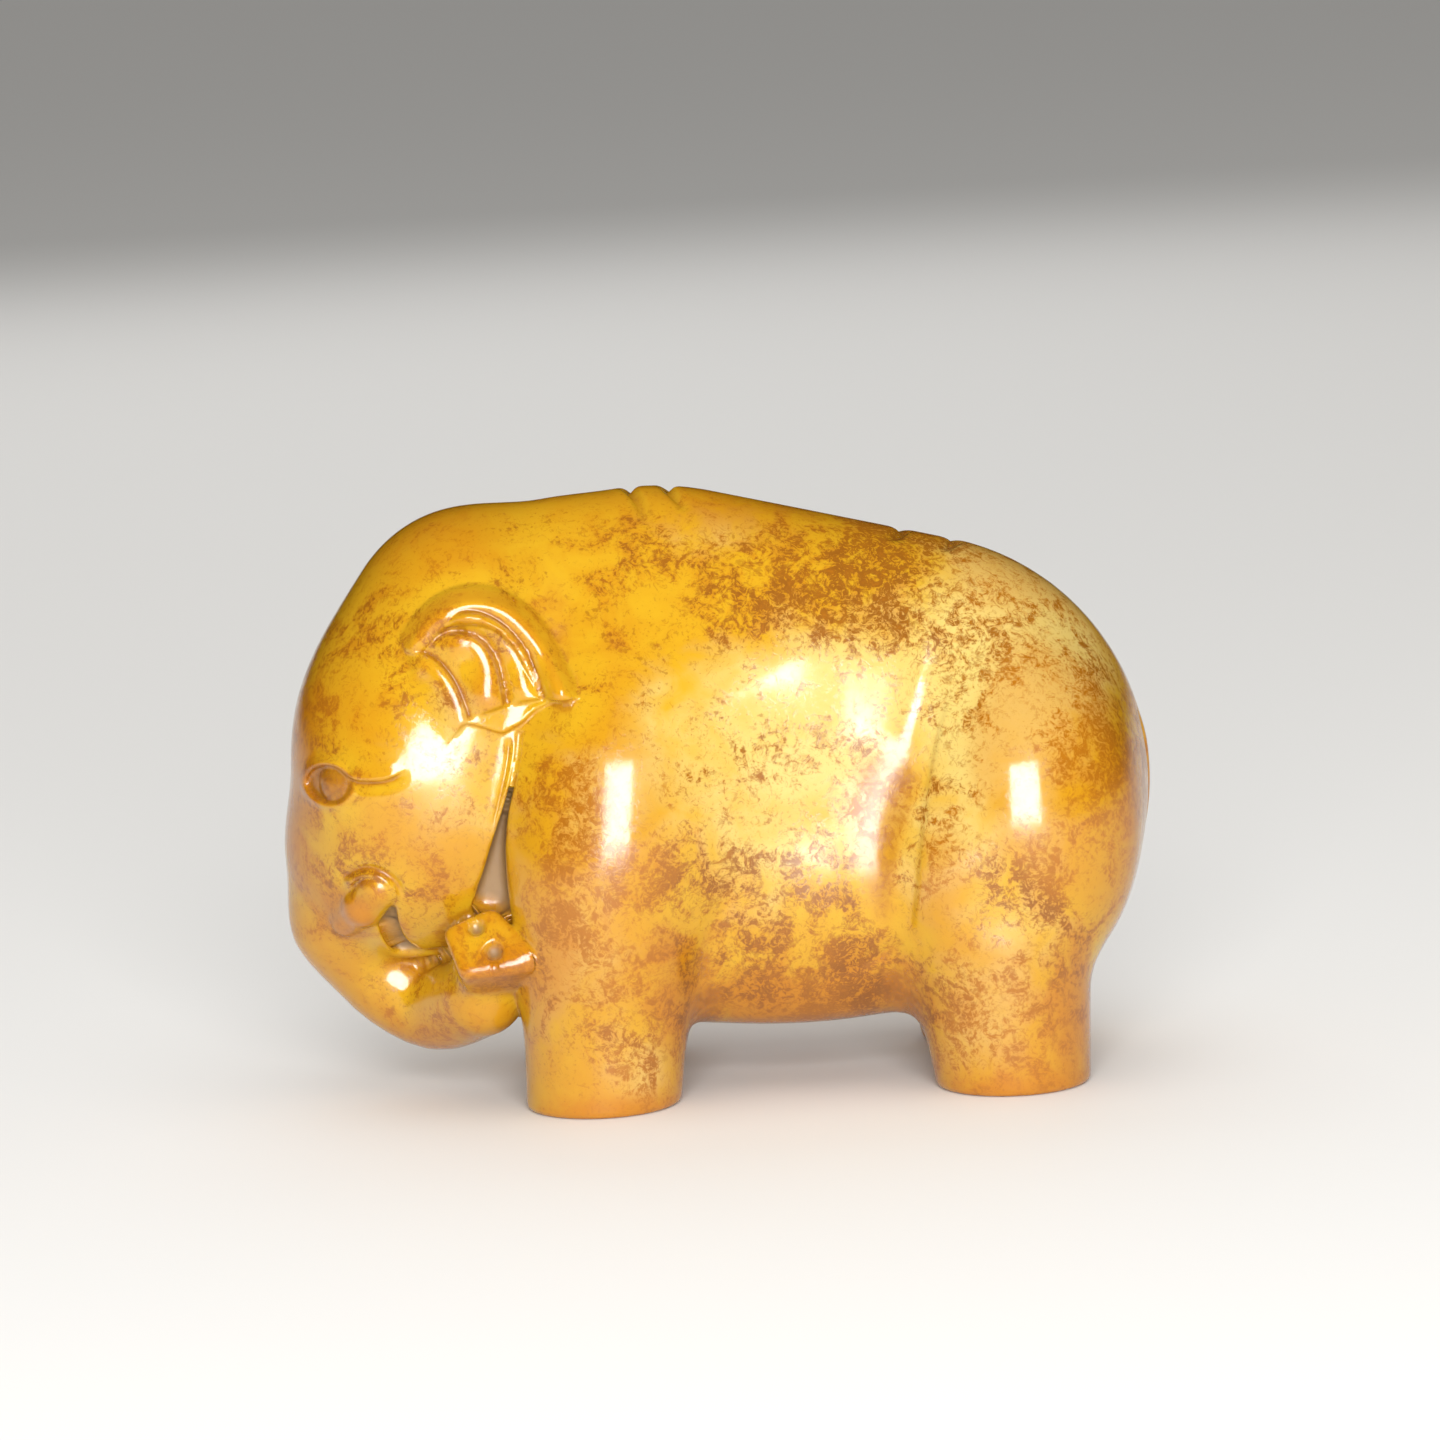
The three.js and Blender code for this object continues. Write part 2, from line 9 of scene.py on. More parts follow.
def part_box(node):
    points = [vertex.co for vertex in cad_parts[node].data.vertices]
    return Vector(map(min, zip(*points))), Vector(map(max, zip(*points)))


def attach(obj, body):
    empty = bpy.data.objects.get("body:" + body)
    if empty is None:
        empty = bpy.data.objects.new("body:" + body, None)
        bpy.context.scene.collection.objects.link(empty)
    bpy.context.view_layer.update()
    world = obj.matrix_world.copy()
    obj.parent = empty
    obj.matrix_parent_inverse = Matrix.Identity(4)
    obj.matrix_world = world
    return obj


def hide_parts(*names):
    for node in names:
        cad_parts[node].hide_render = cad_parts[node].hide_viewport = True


bl_info = {
    "name": "Jade Elephant",
    "version": (1, 0, 0),
    "blender": (4, 5, 0),
    "location": "3D View > Sidebar > Jade Elephant",
    "description": "A small standing elephant carved from one piece of polished yellow jade",
    "category": "Add Mesh",
}

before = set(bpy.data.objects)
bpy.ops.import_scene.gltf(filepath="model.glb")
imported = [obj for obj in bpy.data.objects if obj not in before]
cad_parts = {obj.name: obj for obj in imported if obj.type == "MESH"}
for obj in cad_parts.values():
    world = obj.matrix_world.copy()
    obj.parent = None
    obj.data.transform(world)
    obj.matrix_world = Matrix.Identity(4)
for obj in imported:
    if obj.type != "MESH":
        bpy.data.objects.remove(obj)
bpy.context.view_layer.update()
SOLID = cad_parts["elephant"]
MM = 0.001
SOLID_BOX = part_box("elephant")
BODY_LENGTH = round((SOLID_BOX[1][0] - SOLID_BOX[0][0]) / MM)


def size(name, millimetres, description):
    return FloatProperty(
        name=name, description=description, default=millimetres * MM, min=0.0,
        subtype="DISTANCE", unit="LENGTH",
    )


def colour(name, default, description):
    return FloatVectorProperty(
        name=name, description=description, default=default, min=0.0, max=1.0,
        size=3, subtype="COLOR",
    )


def power(name, default, description):
    return FloatProperty(name=name, description=description, default=default, min=0.0, unit="POWER")


class CarvingSizes(bpy.types.PropertyGroup):
    length: size("Length", BODY_LENGTH, "From brow to rump")
    belly_clearance: size("Belly clearance", 4.4, "Height of the belly over the ground")
    fore_foot: size("Fore foot", 11.5, "Diameter of the forelegs at the ground")
    hind_foot: size("Hind foot", 11.4, "Diameter of the hind legs at the ground")
    sole_edge: size("Sole edge", 0.5, "Rounding of the feet where they meet the ground")
    trunk: size("Trunk", 8.0, "Thickness of the hanging trunk")
    trunk_end: size("Trunk end", 6.4, "Thickness of the trunk before its end")
    trunk_end_width: size("Trunk end width", 6.6, "Width of the flat face that ends the trunk")
    nostril: size("Nostril", 1.5, "Diameter of each nostril")
    tusk: size("Tusk", 3.3, "Diameter of a tusk at the lip")
    tusk_tip: size("Tusk tip", 2.5, "Diameter of a tusk at its blunt tip")
    eye: size("Eye", 5.0, "Diameter of an eyeball")
    lid: size("Lid", 0.32, "Height of the eyelids over the skin")
    ear_rim: size("Ear rim", 1.15, "Height of the rolled rim of the ear")
    ear_step: size("Ear step", 0.8, "Height of each step between the folds of the ear")
    jaw_groove: size("Jaw groove", 3.0, "Depth of the gap behind the jaw")
    mouth_gap: size("Mouth gap", 4.2, "Depth of the gap between jaw and trunk")
    spine_notch: size("Spine notch", 0.35, "Depth of the notches over the spine")
    thigh_step: size("Thigh step", 0.3, "Height of the step where thigh and flank meet")
    grain: size("Grain", 0.6, "Side of the faces on the plain parts of the body")


class JadeColours(bpy.types.PropertyGroup):
    honey: colour("Honey", (0.50, 0.28, 0.010), "The yellow of the head and neck")
    cream: colour("Cream", (0.55, 0.41, 0.12), "The pale patches of rump and flank")
    # Amber also paints shade in cuts and hollows and along the outline, belly and feet.
    amber: colour("Amber", (0.40, 0.14, 0.004), "The deep orange of edges, belly and feet")
    # Rust also paints shade in the stronger cuts.
    rust: colour("Rust", (0.20, 0.065, 0.005), "The veins and freckles")
    # Umber is the brown of the eyes and paints shade in the deepest cuts.
    umber: colour("Umber", (0.075, 0.02, 0.004), "The stain in the deepest cuts")
    matt: colour("Matt cut", (0.21, 0.12, 0.045), "The unpolished walls of the gaps")


class StudioSettings(bpy.types.PropertyGroup):
    floor: colour("Floor", (0.80, 0.79, 0.77), "The plain floor and backdrop")
    key: power("Key", 4.8, "Power of the soft light in front")
    fill: power("Fill", 2.4, "Power of the soft lights overhead and behind")


# The form. Points are in millimetres; the pose is in hundredths of the length, x from the middle
# to the tail, y to the far side and z up from the ground.


def join(a, b, fillet):
    """Two distances joined with a fillet of about the given width."""
    h = np.clip(0.5 + 0.5 * (b - a) / fillet, 0, 1)
    return b + (a - b) * h - fillet * h * (1 - h)


def common(a, b, fillet):
    """What lies inside both, with a rounded edge of about the given width."""
    return -join(-a, -b, fillet)


def ramp(value, low, high):
    """Rises smoothly from 0 at low to 1 at high."""
    t = np.clip((value - low) / (high - low), 0, 1)
    return t * t * (3 - 2 * t)


def egg(p, centre, radii, lean=0.0, power=2.0, rear=None):
    """Distance to an ellipsoid that leans about Y and may have its own radius toward the tail."""
    offset = p - centre
    cos, sin = math.cos(math.radians(lean)), math.sin(math.radians(lean))
    dx = cos * offset[:, 0] + sin * offset[:, 2]
    dz = cos * offset[:, 2] - sin * offset[:, 0]
    front = radii[0] if rear is None else np.where(dx > 0, rear, radii[0])
    parts = ((dx, front), (offset[:, 1], radii[1]), (dz, radii[2]))
    ratios = [np.abs(d) / radius + 1e-6 for d, radius in parts]
    total = sum(ratio**power for ratio in ratios)
    slopes = [
        total ** (1 / power - 1) * ratio ** (power - 1) / radius
        for ratio, (_, radius) in zip(ratios, parts)
    ]
    return (total ** (1 / power) - 1) / np.sqrt(sum(slope**2 for slope in slopes))


def taper(p, start, end, start_radius, end_radius, spread=1.0):
    """Distance to a round cone between two balls, its width in Y multiplied by a spread."""
    squash = np.array((1, 1 / spread, 1))
    axis = (end - start) * squash
    length = np.linalg.norm(axis)
    axis = axis / length
    slope = (start_radius - end_radius) / length
    lead = slope / math.sqrt(1 - slope * slope)
    offset = (p - start) * squash
    along = offset @ axis
    across = np.sqrt(np.maximum((offset**2).sum(1) - along**2, 0))
    reach = np.clip(along - across * lead, 0, length)
    offset = offset - reach[:, None] * axis
    radius = start_radius + (end_radius - start_radius) * reach / length
    return (np.linalg.norm(offset, axis=1) - radius) * min(1, (spread + 1) / 2)


def smooth_curve(points, count=6):
    """Points close together along a smooth curve through the given ones."""
    knots = np.array(points, dtype=float)
    knots = np.vstack((2 * knots[0] - knots[1], knots, 2 * knots[-1] - knots[-2]))
    t = np.linspace(0, 1, count, endpoint=False)[:, None]
    curve = [
        0.5 * (2 * b + (c - a) * t + (2 * a - 5 * b + 4 * c - d) * t**2 + (3 * b - a - 3 * c + d) * t**3)
        for a, b, c, d in zip(knots, knots[1:], knots[2:], knots[3:])
    ]
    return np.vstack(curve + [knots[-2:-1]])


class Stroke:
    """A line drawn on the side of the figure, in millimetres of the side view."""

    def __init__(self, points, share):
        self.curve = smooth_curve(points) * share
        lengths = np.linalg.norm(np.diff(self.curve, axis=0), axis=1)
        self.reached = np.concatenate(((0,), np.cumsum(lengths)))

    def measure(self, flat):
        """How far each point is to the right of the line, how far off, and how far along from 0 to 1."""
        best = np.full(len(flat), np.inf)
        side = np.zeros(len(flat))
        along = np.zeros(len(flat))
        for i, (a, b) in enumerate(zip(self.curve, self.curve[1:])):
            step = b - a
            length = np.linalg.norm(step)
            offset = flat - a
            t = np.clip(offset @ step / length**2, 0, 1)
            away = np.linalg.norm(offset - t[:, None] * step, axis=1)
            nearer = away < best
            cross = step[1] * offset[:, 0] - step[0] * offset[:, 1]
            best = np.where(nearer, away, best)
            side = np.where(nearer, np.sign(cross), side)
            along = np.where(nearer, self.reached[i] + t * length, along)
        return best * side, best, along / self.reached[-1]


class Chart:
    """Values worked out once on a fine grid over the side view and read back between its points."""

    def __init__(self, x_range, z_range, pitch, draw):
        self.low = np.array((x_range[0], z_range[0]))
        self.pitch = pitch
        shape = tuple(int((high - low) / pitch) + 2 for low, high in (x_range, z_range))
        index = np.indices(shape).reshape(2, -1).T
        self.layers = [layer.reshape(shape) for layer in draw(self.low + index * pitch)]
        self.last = np.array(shape) - 2

    def holds(self, flat):
        spot = (flat - self.low) / self.pitch
        return ((spot >= 0) & (spot < self.last + 1)).all(axis=1)

    def read(self, flat, number):
        """One layer at points that the chart holds."""
        spot = (flat - self.low) / self.pitch
        cell = np.clip(spot.astype(int), 0, self.last)
        u, v = (spot - cell).T
        i, j = cell.T
        layer = self.layers[number]
        low = layer[i, j] * (1 - u) + layer[i + 1, j] * u
        high = layer[i, j + 1] * (1 - u) + layer[i + 1, j + 1] * u
        return low * (1 - v) + high * v


# Lines and places of the carving as seen from the side, in hundredths of the length
STROKES = {
    "ear_outer": (
        (-34.6, 52), (-33.2, 55), (-31.2, 57.3), (-28.4, 58.6), (-25, 58.9),
        (-21.5, 58), (-18.6, 55.6), (-16.5, 51.8), (-15.2, 48.4),
    ),
    "ear_rim": (
        (-32.6, 54), (-30.8, 56), (-28.3, 57.3), (-25.4, 57.6),
        (-22.5, 56.6), (-20, 54.2), (-18.3, 51), (-17, 48.4),
    ),
    "ear_base": (
        (-28.6, 43.8), (-27.1, 45.4), (-25.4, 46), (-23, 46.6),
        (-20.8, 47), (-18.4, 47.2), (-16.4, 47), (-14.2, 47.4),
    ),
    "ear_facet": (
        (-28.4, 44.4), (-27.2, 44.8), (-25.3, 44.2), (-23.4, 43.5),
        (-22.1, 44), (-21, 44.6), (-19.7, 45.7), (-18, 46.6),
    ),
    "lid_upper": ((-46.2, 37.7), (-45.6, 39.1), (-44.4, 40.3), (-43, 40.7), (-41.6, 40.3), (-40.4, 39)),
    "lid_lower": ((-46.2, 37.6), (-45.4, 36.6), (-44.1, 36), (-42.6, 36), (-41.3, 36.7), (-40.2, 38.2)),
    "eye_tail": ((-41, 39.4), (-39.6, 38.9), (-37.4, 38.9), (-35.7, 39.3), (-34.1, 40.1)),
    "lip": (
        (-42, 26), (-41.3, 27.1), (-40.3, 27.8), (-39.3, 28.1),
        (-38.2, 27.9), (-37.2, 27.2), (-36.5, 26.2), (-36, 24.8),
    ),
    "jaw_edge": ((-22.6, 43), (-23, 40), (-23.9, 36.6), (-24.8, 33.6), (-25.8, 30.6)),
    "thigh": (
        (27.4, 48), (26.2, 44), (24.8, 39.9), (23.6, 35),
        (22.8, 31), (22.2, 27.2), (21.6, 22.7), (21, 18.5),
    ),
    "elbow": ((4.6, 25.3), (1.8, 24.4), (-0.6, 21.8), (-2.1, 17.1), (-3, 12.6)),
    "flank": ((21, 18.3), (18.2, 16.4), (14.7, 14.8), (11.3, 13.9), (7, 13.4)),
    "rib": ((25.4, 52), (23.8, 48), (22.4, 43), (20.6, 37)),
    "jaw_line": (
        (-21.5, 43.6), (-21.9, 40.7), (-22.8, 37.4), (-23.8, 34.5),
        (-25.1, 31), (-26.1, 28.1), (-27.2, 25.2), (-28.4, 21),
    ),
    "leg_line": (
        (-21.3, 43.4), (-21.7, 40.7), (-22.5, 37.4), (-23.3, 34.5),
        (-23.8, 31), (-23.9, 28), (-23.8, 25), (-23.4, 20),
    ),
    "mouth_gap": ((-37.5, 23.6), (-37.3, 21.4), (-36.7, 19.4), (-35.4, 17.6), (-33.9, 16.8), (-31.6, 17)),
}
EAR_LINES = (
    (
        (-29.2, 55.2), (-27.9, 56.6), (-26.6, 57), (-24.8, 56.7),
        (-22.6, 55.3), (-20.6, 52.7), (-19.6, 50.1), (-18.8, 46.4),
    ),
    (
        (-30.8, 53.9), (-28.8, 54.6), (-26.5, 54.5), (-24.8, 53.3),
        (-23.7, 51.2), (-23.2, 48.5), (-22.9, 45.4),
    ),
    (
        (-34.2, 52.6), (-33, 52.8), (-31.6, 52.5), (-30.2, 51.7),
        (-28.8, 50), (-27.8, 47.9), (-27, 45.2), (-26.6, 44),
    ),
)
EAR_BULGES = ((-17, 49), (-21.3, 48.4), (-25.4, 48))
EYE_HOLLOW = (-43.1, 38.3)
NOTCHES = (
    ((-7.9, 0), (-7.3, 2.6), (-5.8, 8), (-4.6, 12)),
    ((-3.6, 0), (-3, 2.4), (-1.4, 6.4), (-0.4, 8.6)),
    ((23.1, 0), (22.6, 2), (21.4, 5.6), (20.8, 7.4)),
    ((29, 0), (28.4, 2), (27, 5.6), (26.2, 7.4)),
)


# Places on the near side: x, z and how far below the skin
EYE_BALL = (-42.8, 38.2, 2.3)
TUSK = ((-38.4, 26, 0.8), (-40.3, 23.7, 0.5), (-42.6, 21.4, 0.6))

TRUNK_BENDS = ((-42.2, 0, 20.5), (-38.4, 0, 13.9), (-32.8, -2.4, 10.3), (-27.4, -10.6, 12.8))
TRUNK_END = (-25.8, -20.2, 20.4)
TRUNK_END_AXIS = (-0.1, -0.86, 0.5)
# Facets of the trunk's end: direction to the right and up, and reach as a share of its width
TRUNK_END_FACETS = ((-0.95, -0.3, 0.47), (-0.36, 0.93, 0.4), (0.79, 0.61, 0.3), (0.06, -1, 0.37), (1, -0.2, 0.56))
NOSTRILS = ((-0.17, 0.2), (0.02, -0.11))

HEAD_BACK = -12
JAW_TOP = 43.2
BACK_NOTCHED = 52
# Layers of the chart of the head, and how far from the middle the skin is where a gap is cut
# The second layer holds the eye stain and the painted shade of the cuts.
RELIEF, STAIN_AND_SHADE, JAW, MOUTH = range(4)
JAW_SKIN = 19.4
MOUTH_SKIN = 14

# How far in millimetres a face may stand off the curved surface before each round of splitting
SPLIT_TOLERANCES = (0.018, 0.018, 0.02)


class Form:
    """Distance from points to the carved elephant, negative inside, and the painted shade of its cuts with the
    stain of its eyes.
    """

    def __init__(self, sizes):
        self.size = {name: value / MM for name, value in sizes.items()}
        self.share = self.size["length"] / 100
        s = self.share
        self.trunk_path = list(smooth_curve(TRUNK_BENDS, 4) * s)
        self.end_centre = self.place(*TRUNK_END)
        self.end_axis = np.array(TRUNK_END_AXIS) / np.linalg.norm(TRUNK_END_AXIS)
        right = np.array((1.0, 0, 0)) - self.end_axis * self.end_axis[0]
        self.end_right = right / np.linalg.norm(right)
        self.end_up = np.cross(self.end_axis, self.end_right)
        self.strokes = {name: Stroke(points, s) for name, points in STROKES.items()}
        self.ear_lines = [Stroke(points, s) for points in EAR_LINES]
        self.notches = [Stroke(points, s) for points in NOTCHES]
        self.head_chart = Chart((-50 * s, HEAD_BACK * s), (14 * s, 62 * s), 0.05, self.draw_head)
        self.body_chart = Chart((-8 * s, 30 * s), (8 * s, 52 * s), 0.15, self.folds)
        self.eye_ball = self.on_side(*EYE_BALL)
        self.tusk_line = [self.on_side(*place) for place in TUSK]

    def place(self, x, y, z):
        return np.array((x, y, z), dtype=float) * self.share

    def torso(self, p):
        """The body, legs and head before the fine carving."""
        s, place = self.share, self.place
        half = p * (1, 0, 1) + np.abs(p) * (0, 1, 0)
        x, z = p[:, 0] / s, p[:, 2] / s
        behind = ramp(x, -6, 14)
        waist = (1 - behind) * (1 - 0.3 * ramp(z, 34, 66)) + behind * (0.93 + 0.14 * ramp(z, 15, 55))
        waist *= (0.87 + 0.26 * ramp(x, 15, -14)) * (1 - 0.3 * ramp(x, -10, -34)) * (1 + 0.17 * ramp(x, 24, 38))
        narrowed = np.stack((half[:, 0], half[:, 1] / waist, half[:, 2]), axis=1)
        barrel = taper(narrowed, place(-6.2, 0, 37), place(21.6, 0, 33), 31.2 * s, 28.2 * s, 0.69) * waist
        paunch = egg(half, place(9, 7, 22.6), place(20.5, 12.2, 16.4))
        nape = egg(half, place(-18.5, 0, 46.4), place(16.5, 13.6, 19.4))
        shoulder = egg(half, place(-12.9, 12.2, 26.4), place(12, 12.6, 20))
        fore = taper(half, place(-12.4, 13, 26), place(-14.3, 13.6, 0), 10.2 * s, self.size["fore_foot"] / 2)
        hind = taper(half, place(31, 13.3, 16.7), place(32.1, 13.6, 0), 10.4 * s, self.size["hind_foot"] / 2)
        knee = egg(half, place(27.4, 11.3, 24.4), place(9.2, 12, 15))
        thigh = egg(half, place(34.6, 10.9, 29.6), place(13.2, 13.8, 19))
        skull = egg(half, place(-26, 0, 48.6), place(16.2, 17.2, 18.4))
        cheek = egg(half, place(-32, 0, 36.6), place(15.9, 19.1, 20.6), 0, 2.3, 17 * s)
        root = taper(half, place(-38.6, 0, 27.3), place(-42, 0, 20.5), 10 * s, 5.9 * s, 1.1)
        fuller = join(barrel, paunch, 5 * s)
        cleared = common(fuller, self.size["belly_clearance"] - p[:, 2], 3 * s)
        leg = join(join(hind, knee, 2.4 * s), thigh, 2.6 * s)
        foreleg = join(shoulder, fore, 4.5 * s)
        armpit = (2.6 + 2.4 * ramp(z, 18, 30)) * s
        quarters = join(join(join(cleared, nape, 4.5 * s), foreleg, armpit), leg, 5 * s)
        face = join(join(skull, cheek, 4 * s), root, 5 * s)
        return join(quarters, face, 2.4 * s)

    def curl(self, p):
        """The curled part of the trunk with its block of an end."""
        s = self.share
        radii = np.linspace(self.size["trunk"], self.size["trunk_end"], len(self.trunk_path)) / 2
        hanging = None
        for i, (start, end) in enumerate(zip(self.trunk_path, self.trunk_path[1:])):
            part = taper(p, start, end, radii[i], radii[i + 1], 1.05)
            hanging = part if hanging is None else np.minimum(hanging, part)
        offset = p - self.end_centre
        right, up, out = offset @ self.end_right, offset @ self.end_up, offset @ self.end_axis
        block = common(out, -out - self.size["trunk_end"], 0.8 * s)
        for r, u, reach in TRUNK_END_FACETS:
            block = common(block, r * right + u * up - reach * self.size["trunk_end_width"], 1.1 * s)
        return join(hanging, block, 1.6 * s)

    def seam(self, p):
        """Width of the fillet between trunk and body: broad at the face, narrow beside the leg."""
        return 0.35 + 2.4 * ramp(-p[:, 0], 36 * self.share, 42 * self.share)

    def with_trunk(self, p, figure):
        """Joins the curled trunk to a distance of the rest."""
        near = (p[:, 0] < HEAD_BACK * self.share) & (p[:, 2] < 40 * self.share)
        if near.any():
            figure[near] = join(figure[near], self.curl(p[near]), self.seam(p[near]))
        return figure

    def rough(self, p):
        return self.with_trunk(p, self.torso(p))

    def on_side(self, x, z, sink=0.0):
        """The point of the near flank at a place of the side view, sunk a little."""
        p = self.place(x, -40, z)[None]
        for _ in range(120):
            p = p + (0, 0.7 * self.rough(p)[0], 0)
        slope = self.slope(p, self.rough)
        return (p - sink * slope / np.linalg.norm(slope))[0]

    def slope(self, p, distance, reach=0.04):
        """How fast a distance grows along each axis."""
        return self.gap_and_slope(p, distance, reach)[1]

    def normal(self, p):
        """Which way the carved surface faces."""
        slope = self.slope(p, self.distance)
        return slope / np.linalg.norm(slope, axis=1)[:, None]

    def gap_and_slope(self, p, distance, reach=0.04):
        """A distance and its slope from four points around each one."""
        corners = np.array(((1, 1, 1), (1, -1, -1), (-1, 1, -1), (-1, -1, 1)))
        gaps = [distance(p + corner * reach) for corner in corners]
        slope = sum(corner * gap[:, None] for corner, gap in zip(corners, gaps)) / (4 * reach)
        return sum(gaps) / 4, slope

    def ear(self, flat):
        """Height of the ear over the head, and the painted shade along its grooves, facet and outer edge."""
        height = np.zeros(len(flat))
        stain = np.zeros(len(flat))
        step = self.size["ear_step"]
        below, _, _ = self.strokes["ear_base"].measure(flat)
        inner, _, _ = self.strokes["ear_outer"].measure(flat)
        _, off, along = self.strokes["ear_rim"].measure(flat)
        wide = 1.05 + 0.35 * ramp(along, 0, 0.35)
        roll = np.sqrt(np.clip(1 - (off / wide) ** 2, 0, 1)) ** 1.4
        height += self.size["ear_rim"] * (0.35 + 0.65 * ramp(along, 0, 0.3)) * roll
        plate = ramp(inner, 0, 0.8) * 0.35
        height += plate * ramp(self.ear_lines[2].measure(flat)[0], 0.1, -0.1)
        for line, start in zip(self.ear_lines, (0.1, 0.12, 0.12)):
            across, _, along = line.measure(flat)
            fade = ramp(along, 0, start * 2)
            inside = np.exp(-(((across - 0.5) / 1.05) ** 2)) * step * 0.62
            outside = -np.exp(-((across / 0.7) ** 2)) * step * 0.5
            height += fade * (outside + (inside - outside) * ramp(across, -0.11, 0.11))
            # Painted shade: a dark line along each fold line of the ear.
            stain = np.maximum(stain, fade * np.exp(-(((across + 0.18) / 0.3) ** 2)))
        for x, z in EAR_BULGES:
            away = np.linalg.norm((flat - np.array((x, z)) * self.share) / (1.1, 1.5), axis=1)
            height += 0.42 * np.exp(-(away**2))
        kept = ramp(below, 0.28, -0.12)
        facet, off, _ = self.strokes["ear_facet"].measure(flat)
        shelf = 0.42 * ramp(facet, 0.12, -0.12) * ramp(inner, 0.2, 0.9)
        height = height * kept + np.minimum(shelf, 1) * (1 - kept)
        # Painted shade along the line under the ear's facet.
        stain = np.maximum(stain * kept, 0.8 * np.exp(-((off / 0.22) ** 2)) * ramp(facet, -0.4, 0.2))
        # Painted shade along the ear's outer outline.
        edge = np.exp(-(((inner - 0.1) / 0.4) ** 2)) * 0.6
        return height, np.maximum(stain, edge * ramp(-below, -0.2, 0.6))

    def face(self, flat):
        """Height of lids, lip and folds of the face, the brown stain of the eyes, and painted shade in the grooves
        of eye tail, lip and jaw edge.
        """
        height = np.zeros(len(flat))
        stain = np.zeros(len(flat))
        for name in ("lid_upper", "lid_lower"):
            _, off, along = self.strokes[name].measure(flat)
            fade = np.sqrt(np.clip(np.sin(np.pi * np.clip(along, 0.02, 0.98)), 0, 1))
            height += self.size["lid"] * fade * np.exp(-((off / 0.3) ** 2))
        centre = np.array(EYE_HOLLOW) * self.share
        away = np.linalg.norm((flat - centre) / (1.9, 1.55), axis=1)
        height -= 0.3 * ramp(away, 1.05, 0.7)
        # The brown of the eye hollow is the eye's own stain.
        stain = np.maximum(stain, 0.98 * ramp(away, 1.3, 0.85))
        across, _, along = self.strokes["eye_tail"].measure(flat)
        fade = ramp(along, 0, 0.12) * ramp(along, 1, 0.72)
        lower = -np.exp(-((across / 0.55) ** 2)) * 0.34
        upper = np.exp(-((across / 1.1) ** 2)) * 0.26
        height += fade * (upper + (lower - upper) * ramp(across, -0.09, 0.09))
        # Painted shade in the groove under the eye tail.
        stain = np.maximum(stain, fade * np.exp(-(((across - 0.15) / 0.3) ** 2)))
        across, off, along = self.strokes["lip"].measure(flat)
        fade = ramp(along, 0, 0.18) * ramp(along, 1, 0.82)
        ridge = 0.34 * np.exp(-((off / 0.3) ** 2))
        outer = -0.22 * np.exp(-(((across + 0.55) / 0.28) ** 2))
        inner = -0.35 * np.exp(-(((across - 0.75) / 0.45) ** 2))
        height += fade * (ridge + outer + inner)
        # Painted shade in the grooves on either side of the lip.
        stain = np.maximum(stain, fade * 0.85 * np.exp(-(((across + 0.5) / 0.25) ** 2)))
        stain = np.maximum(stain, fade * 0.8 * np.exp(-(((across - 0.7) / 0.4) ** 2)))
        _, off, along = self.strokes["jaw_edge"].measure(flat)
        fade = ramp(along, 0, 0.1) * ramp(along, 1, 0.55)
        height -= fade * 0.2 * np.exp(-((off / 0.16) ** 2))
        # Painted shade along the jaw edge.
        stain = np.maximum(stain, fade * 0.7 * np.exp(-((off / 0.22) ** 2)))
        return height, stain

    def folds(self, flat):
        """Height of the folds of thigh, elbow and flank, and painted shade in the creases of thigh and elbow."""
        across, _, along = self.strokes["thigh"].measure(flat)
        fade = ramp(along, 0, 0.3) * ramp(along, 1, 0.9)
        raised = np.exp(-((across / 1.6) ** 2)) * ramp(across, 0.12, -0.12)
        sunk = np.exp(-((across / 0.9) ** 2)) * ramp(across, -0.12, 0.12)
        height = self.size["thigh_step"] * fade * (0.5 * raised - 0.5 * sunk)
        # Painted shade in the thigh crease.
        stain = fade * 0.3 * np.exp(-(((across - 0.2) / 0.3) ** 2))
        _, off, along = self.strokes["elbow"].measure(flat)
        fade = ramp(along, 0, 0.4) * ramp(along, 1, 0.8)
        height -= 0.22 * fade * np.exp(-((off / 0.8) ** 2))
        # Painted shade in the elbow crease.
        stain = np.maximum(stain, fade * 0.35 * np.exp(-((off / 0.7) ** 2)))
        _, off, along = self.strokes["rib"].measure(flat)
        fade = ramp(along, 0, 0.3) * ramp(along, 1, 0.7)
        height -= 0.2 * fade * np.exp(-((off / 0.9) ** 2))
        _, off, along = self.strokes["flank"].measure(flat)
        fade = ramp(along, 0, 0.2) * ramp(along, 1, 0.5)
        height -= 0.14 * fade * np.exp(-((off / 0.5) ** 2))
        return height, stain

    def spine(self, p):
        """Depth of the notches across the spine, and painted shade in them."""
        depth = np.zeros(len(p))
        stain = np.zeros(len(p))
        top = ramp(p[:, 2], BACK_NOTCHED * self.share, 57 * self.share)
        flat = np.stack((p[:, 0], np.abs(p[:, 1])), axis=1)
        for notch in self.notches:
            _, off, along = notch.measure(flat)
            fade = np.sqrt(1 - ramp(along, 0.15, 0.7)) * top
            depth += self.size["spine_notch"] * fade * np.exp(-((off / 0.42) ** 2))
            # Painted shade in the notches.
            stain = np.maximum(stain, 0.7 * fade * np.exp(-((off / 0.55) ** 2)))
        return -depth, stain

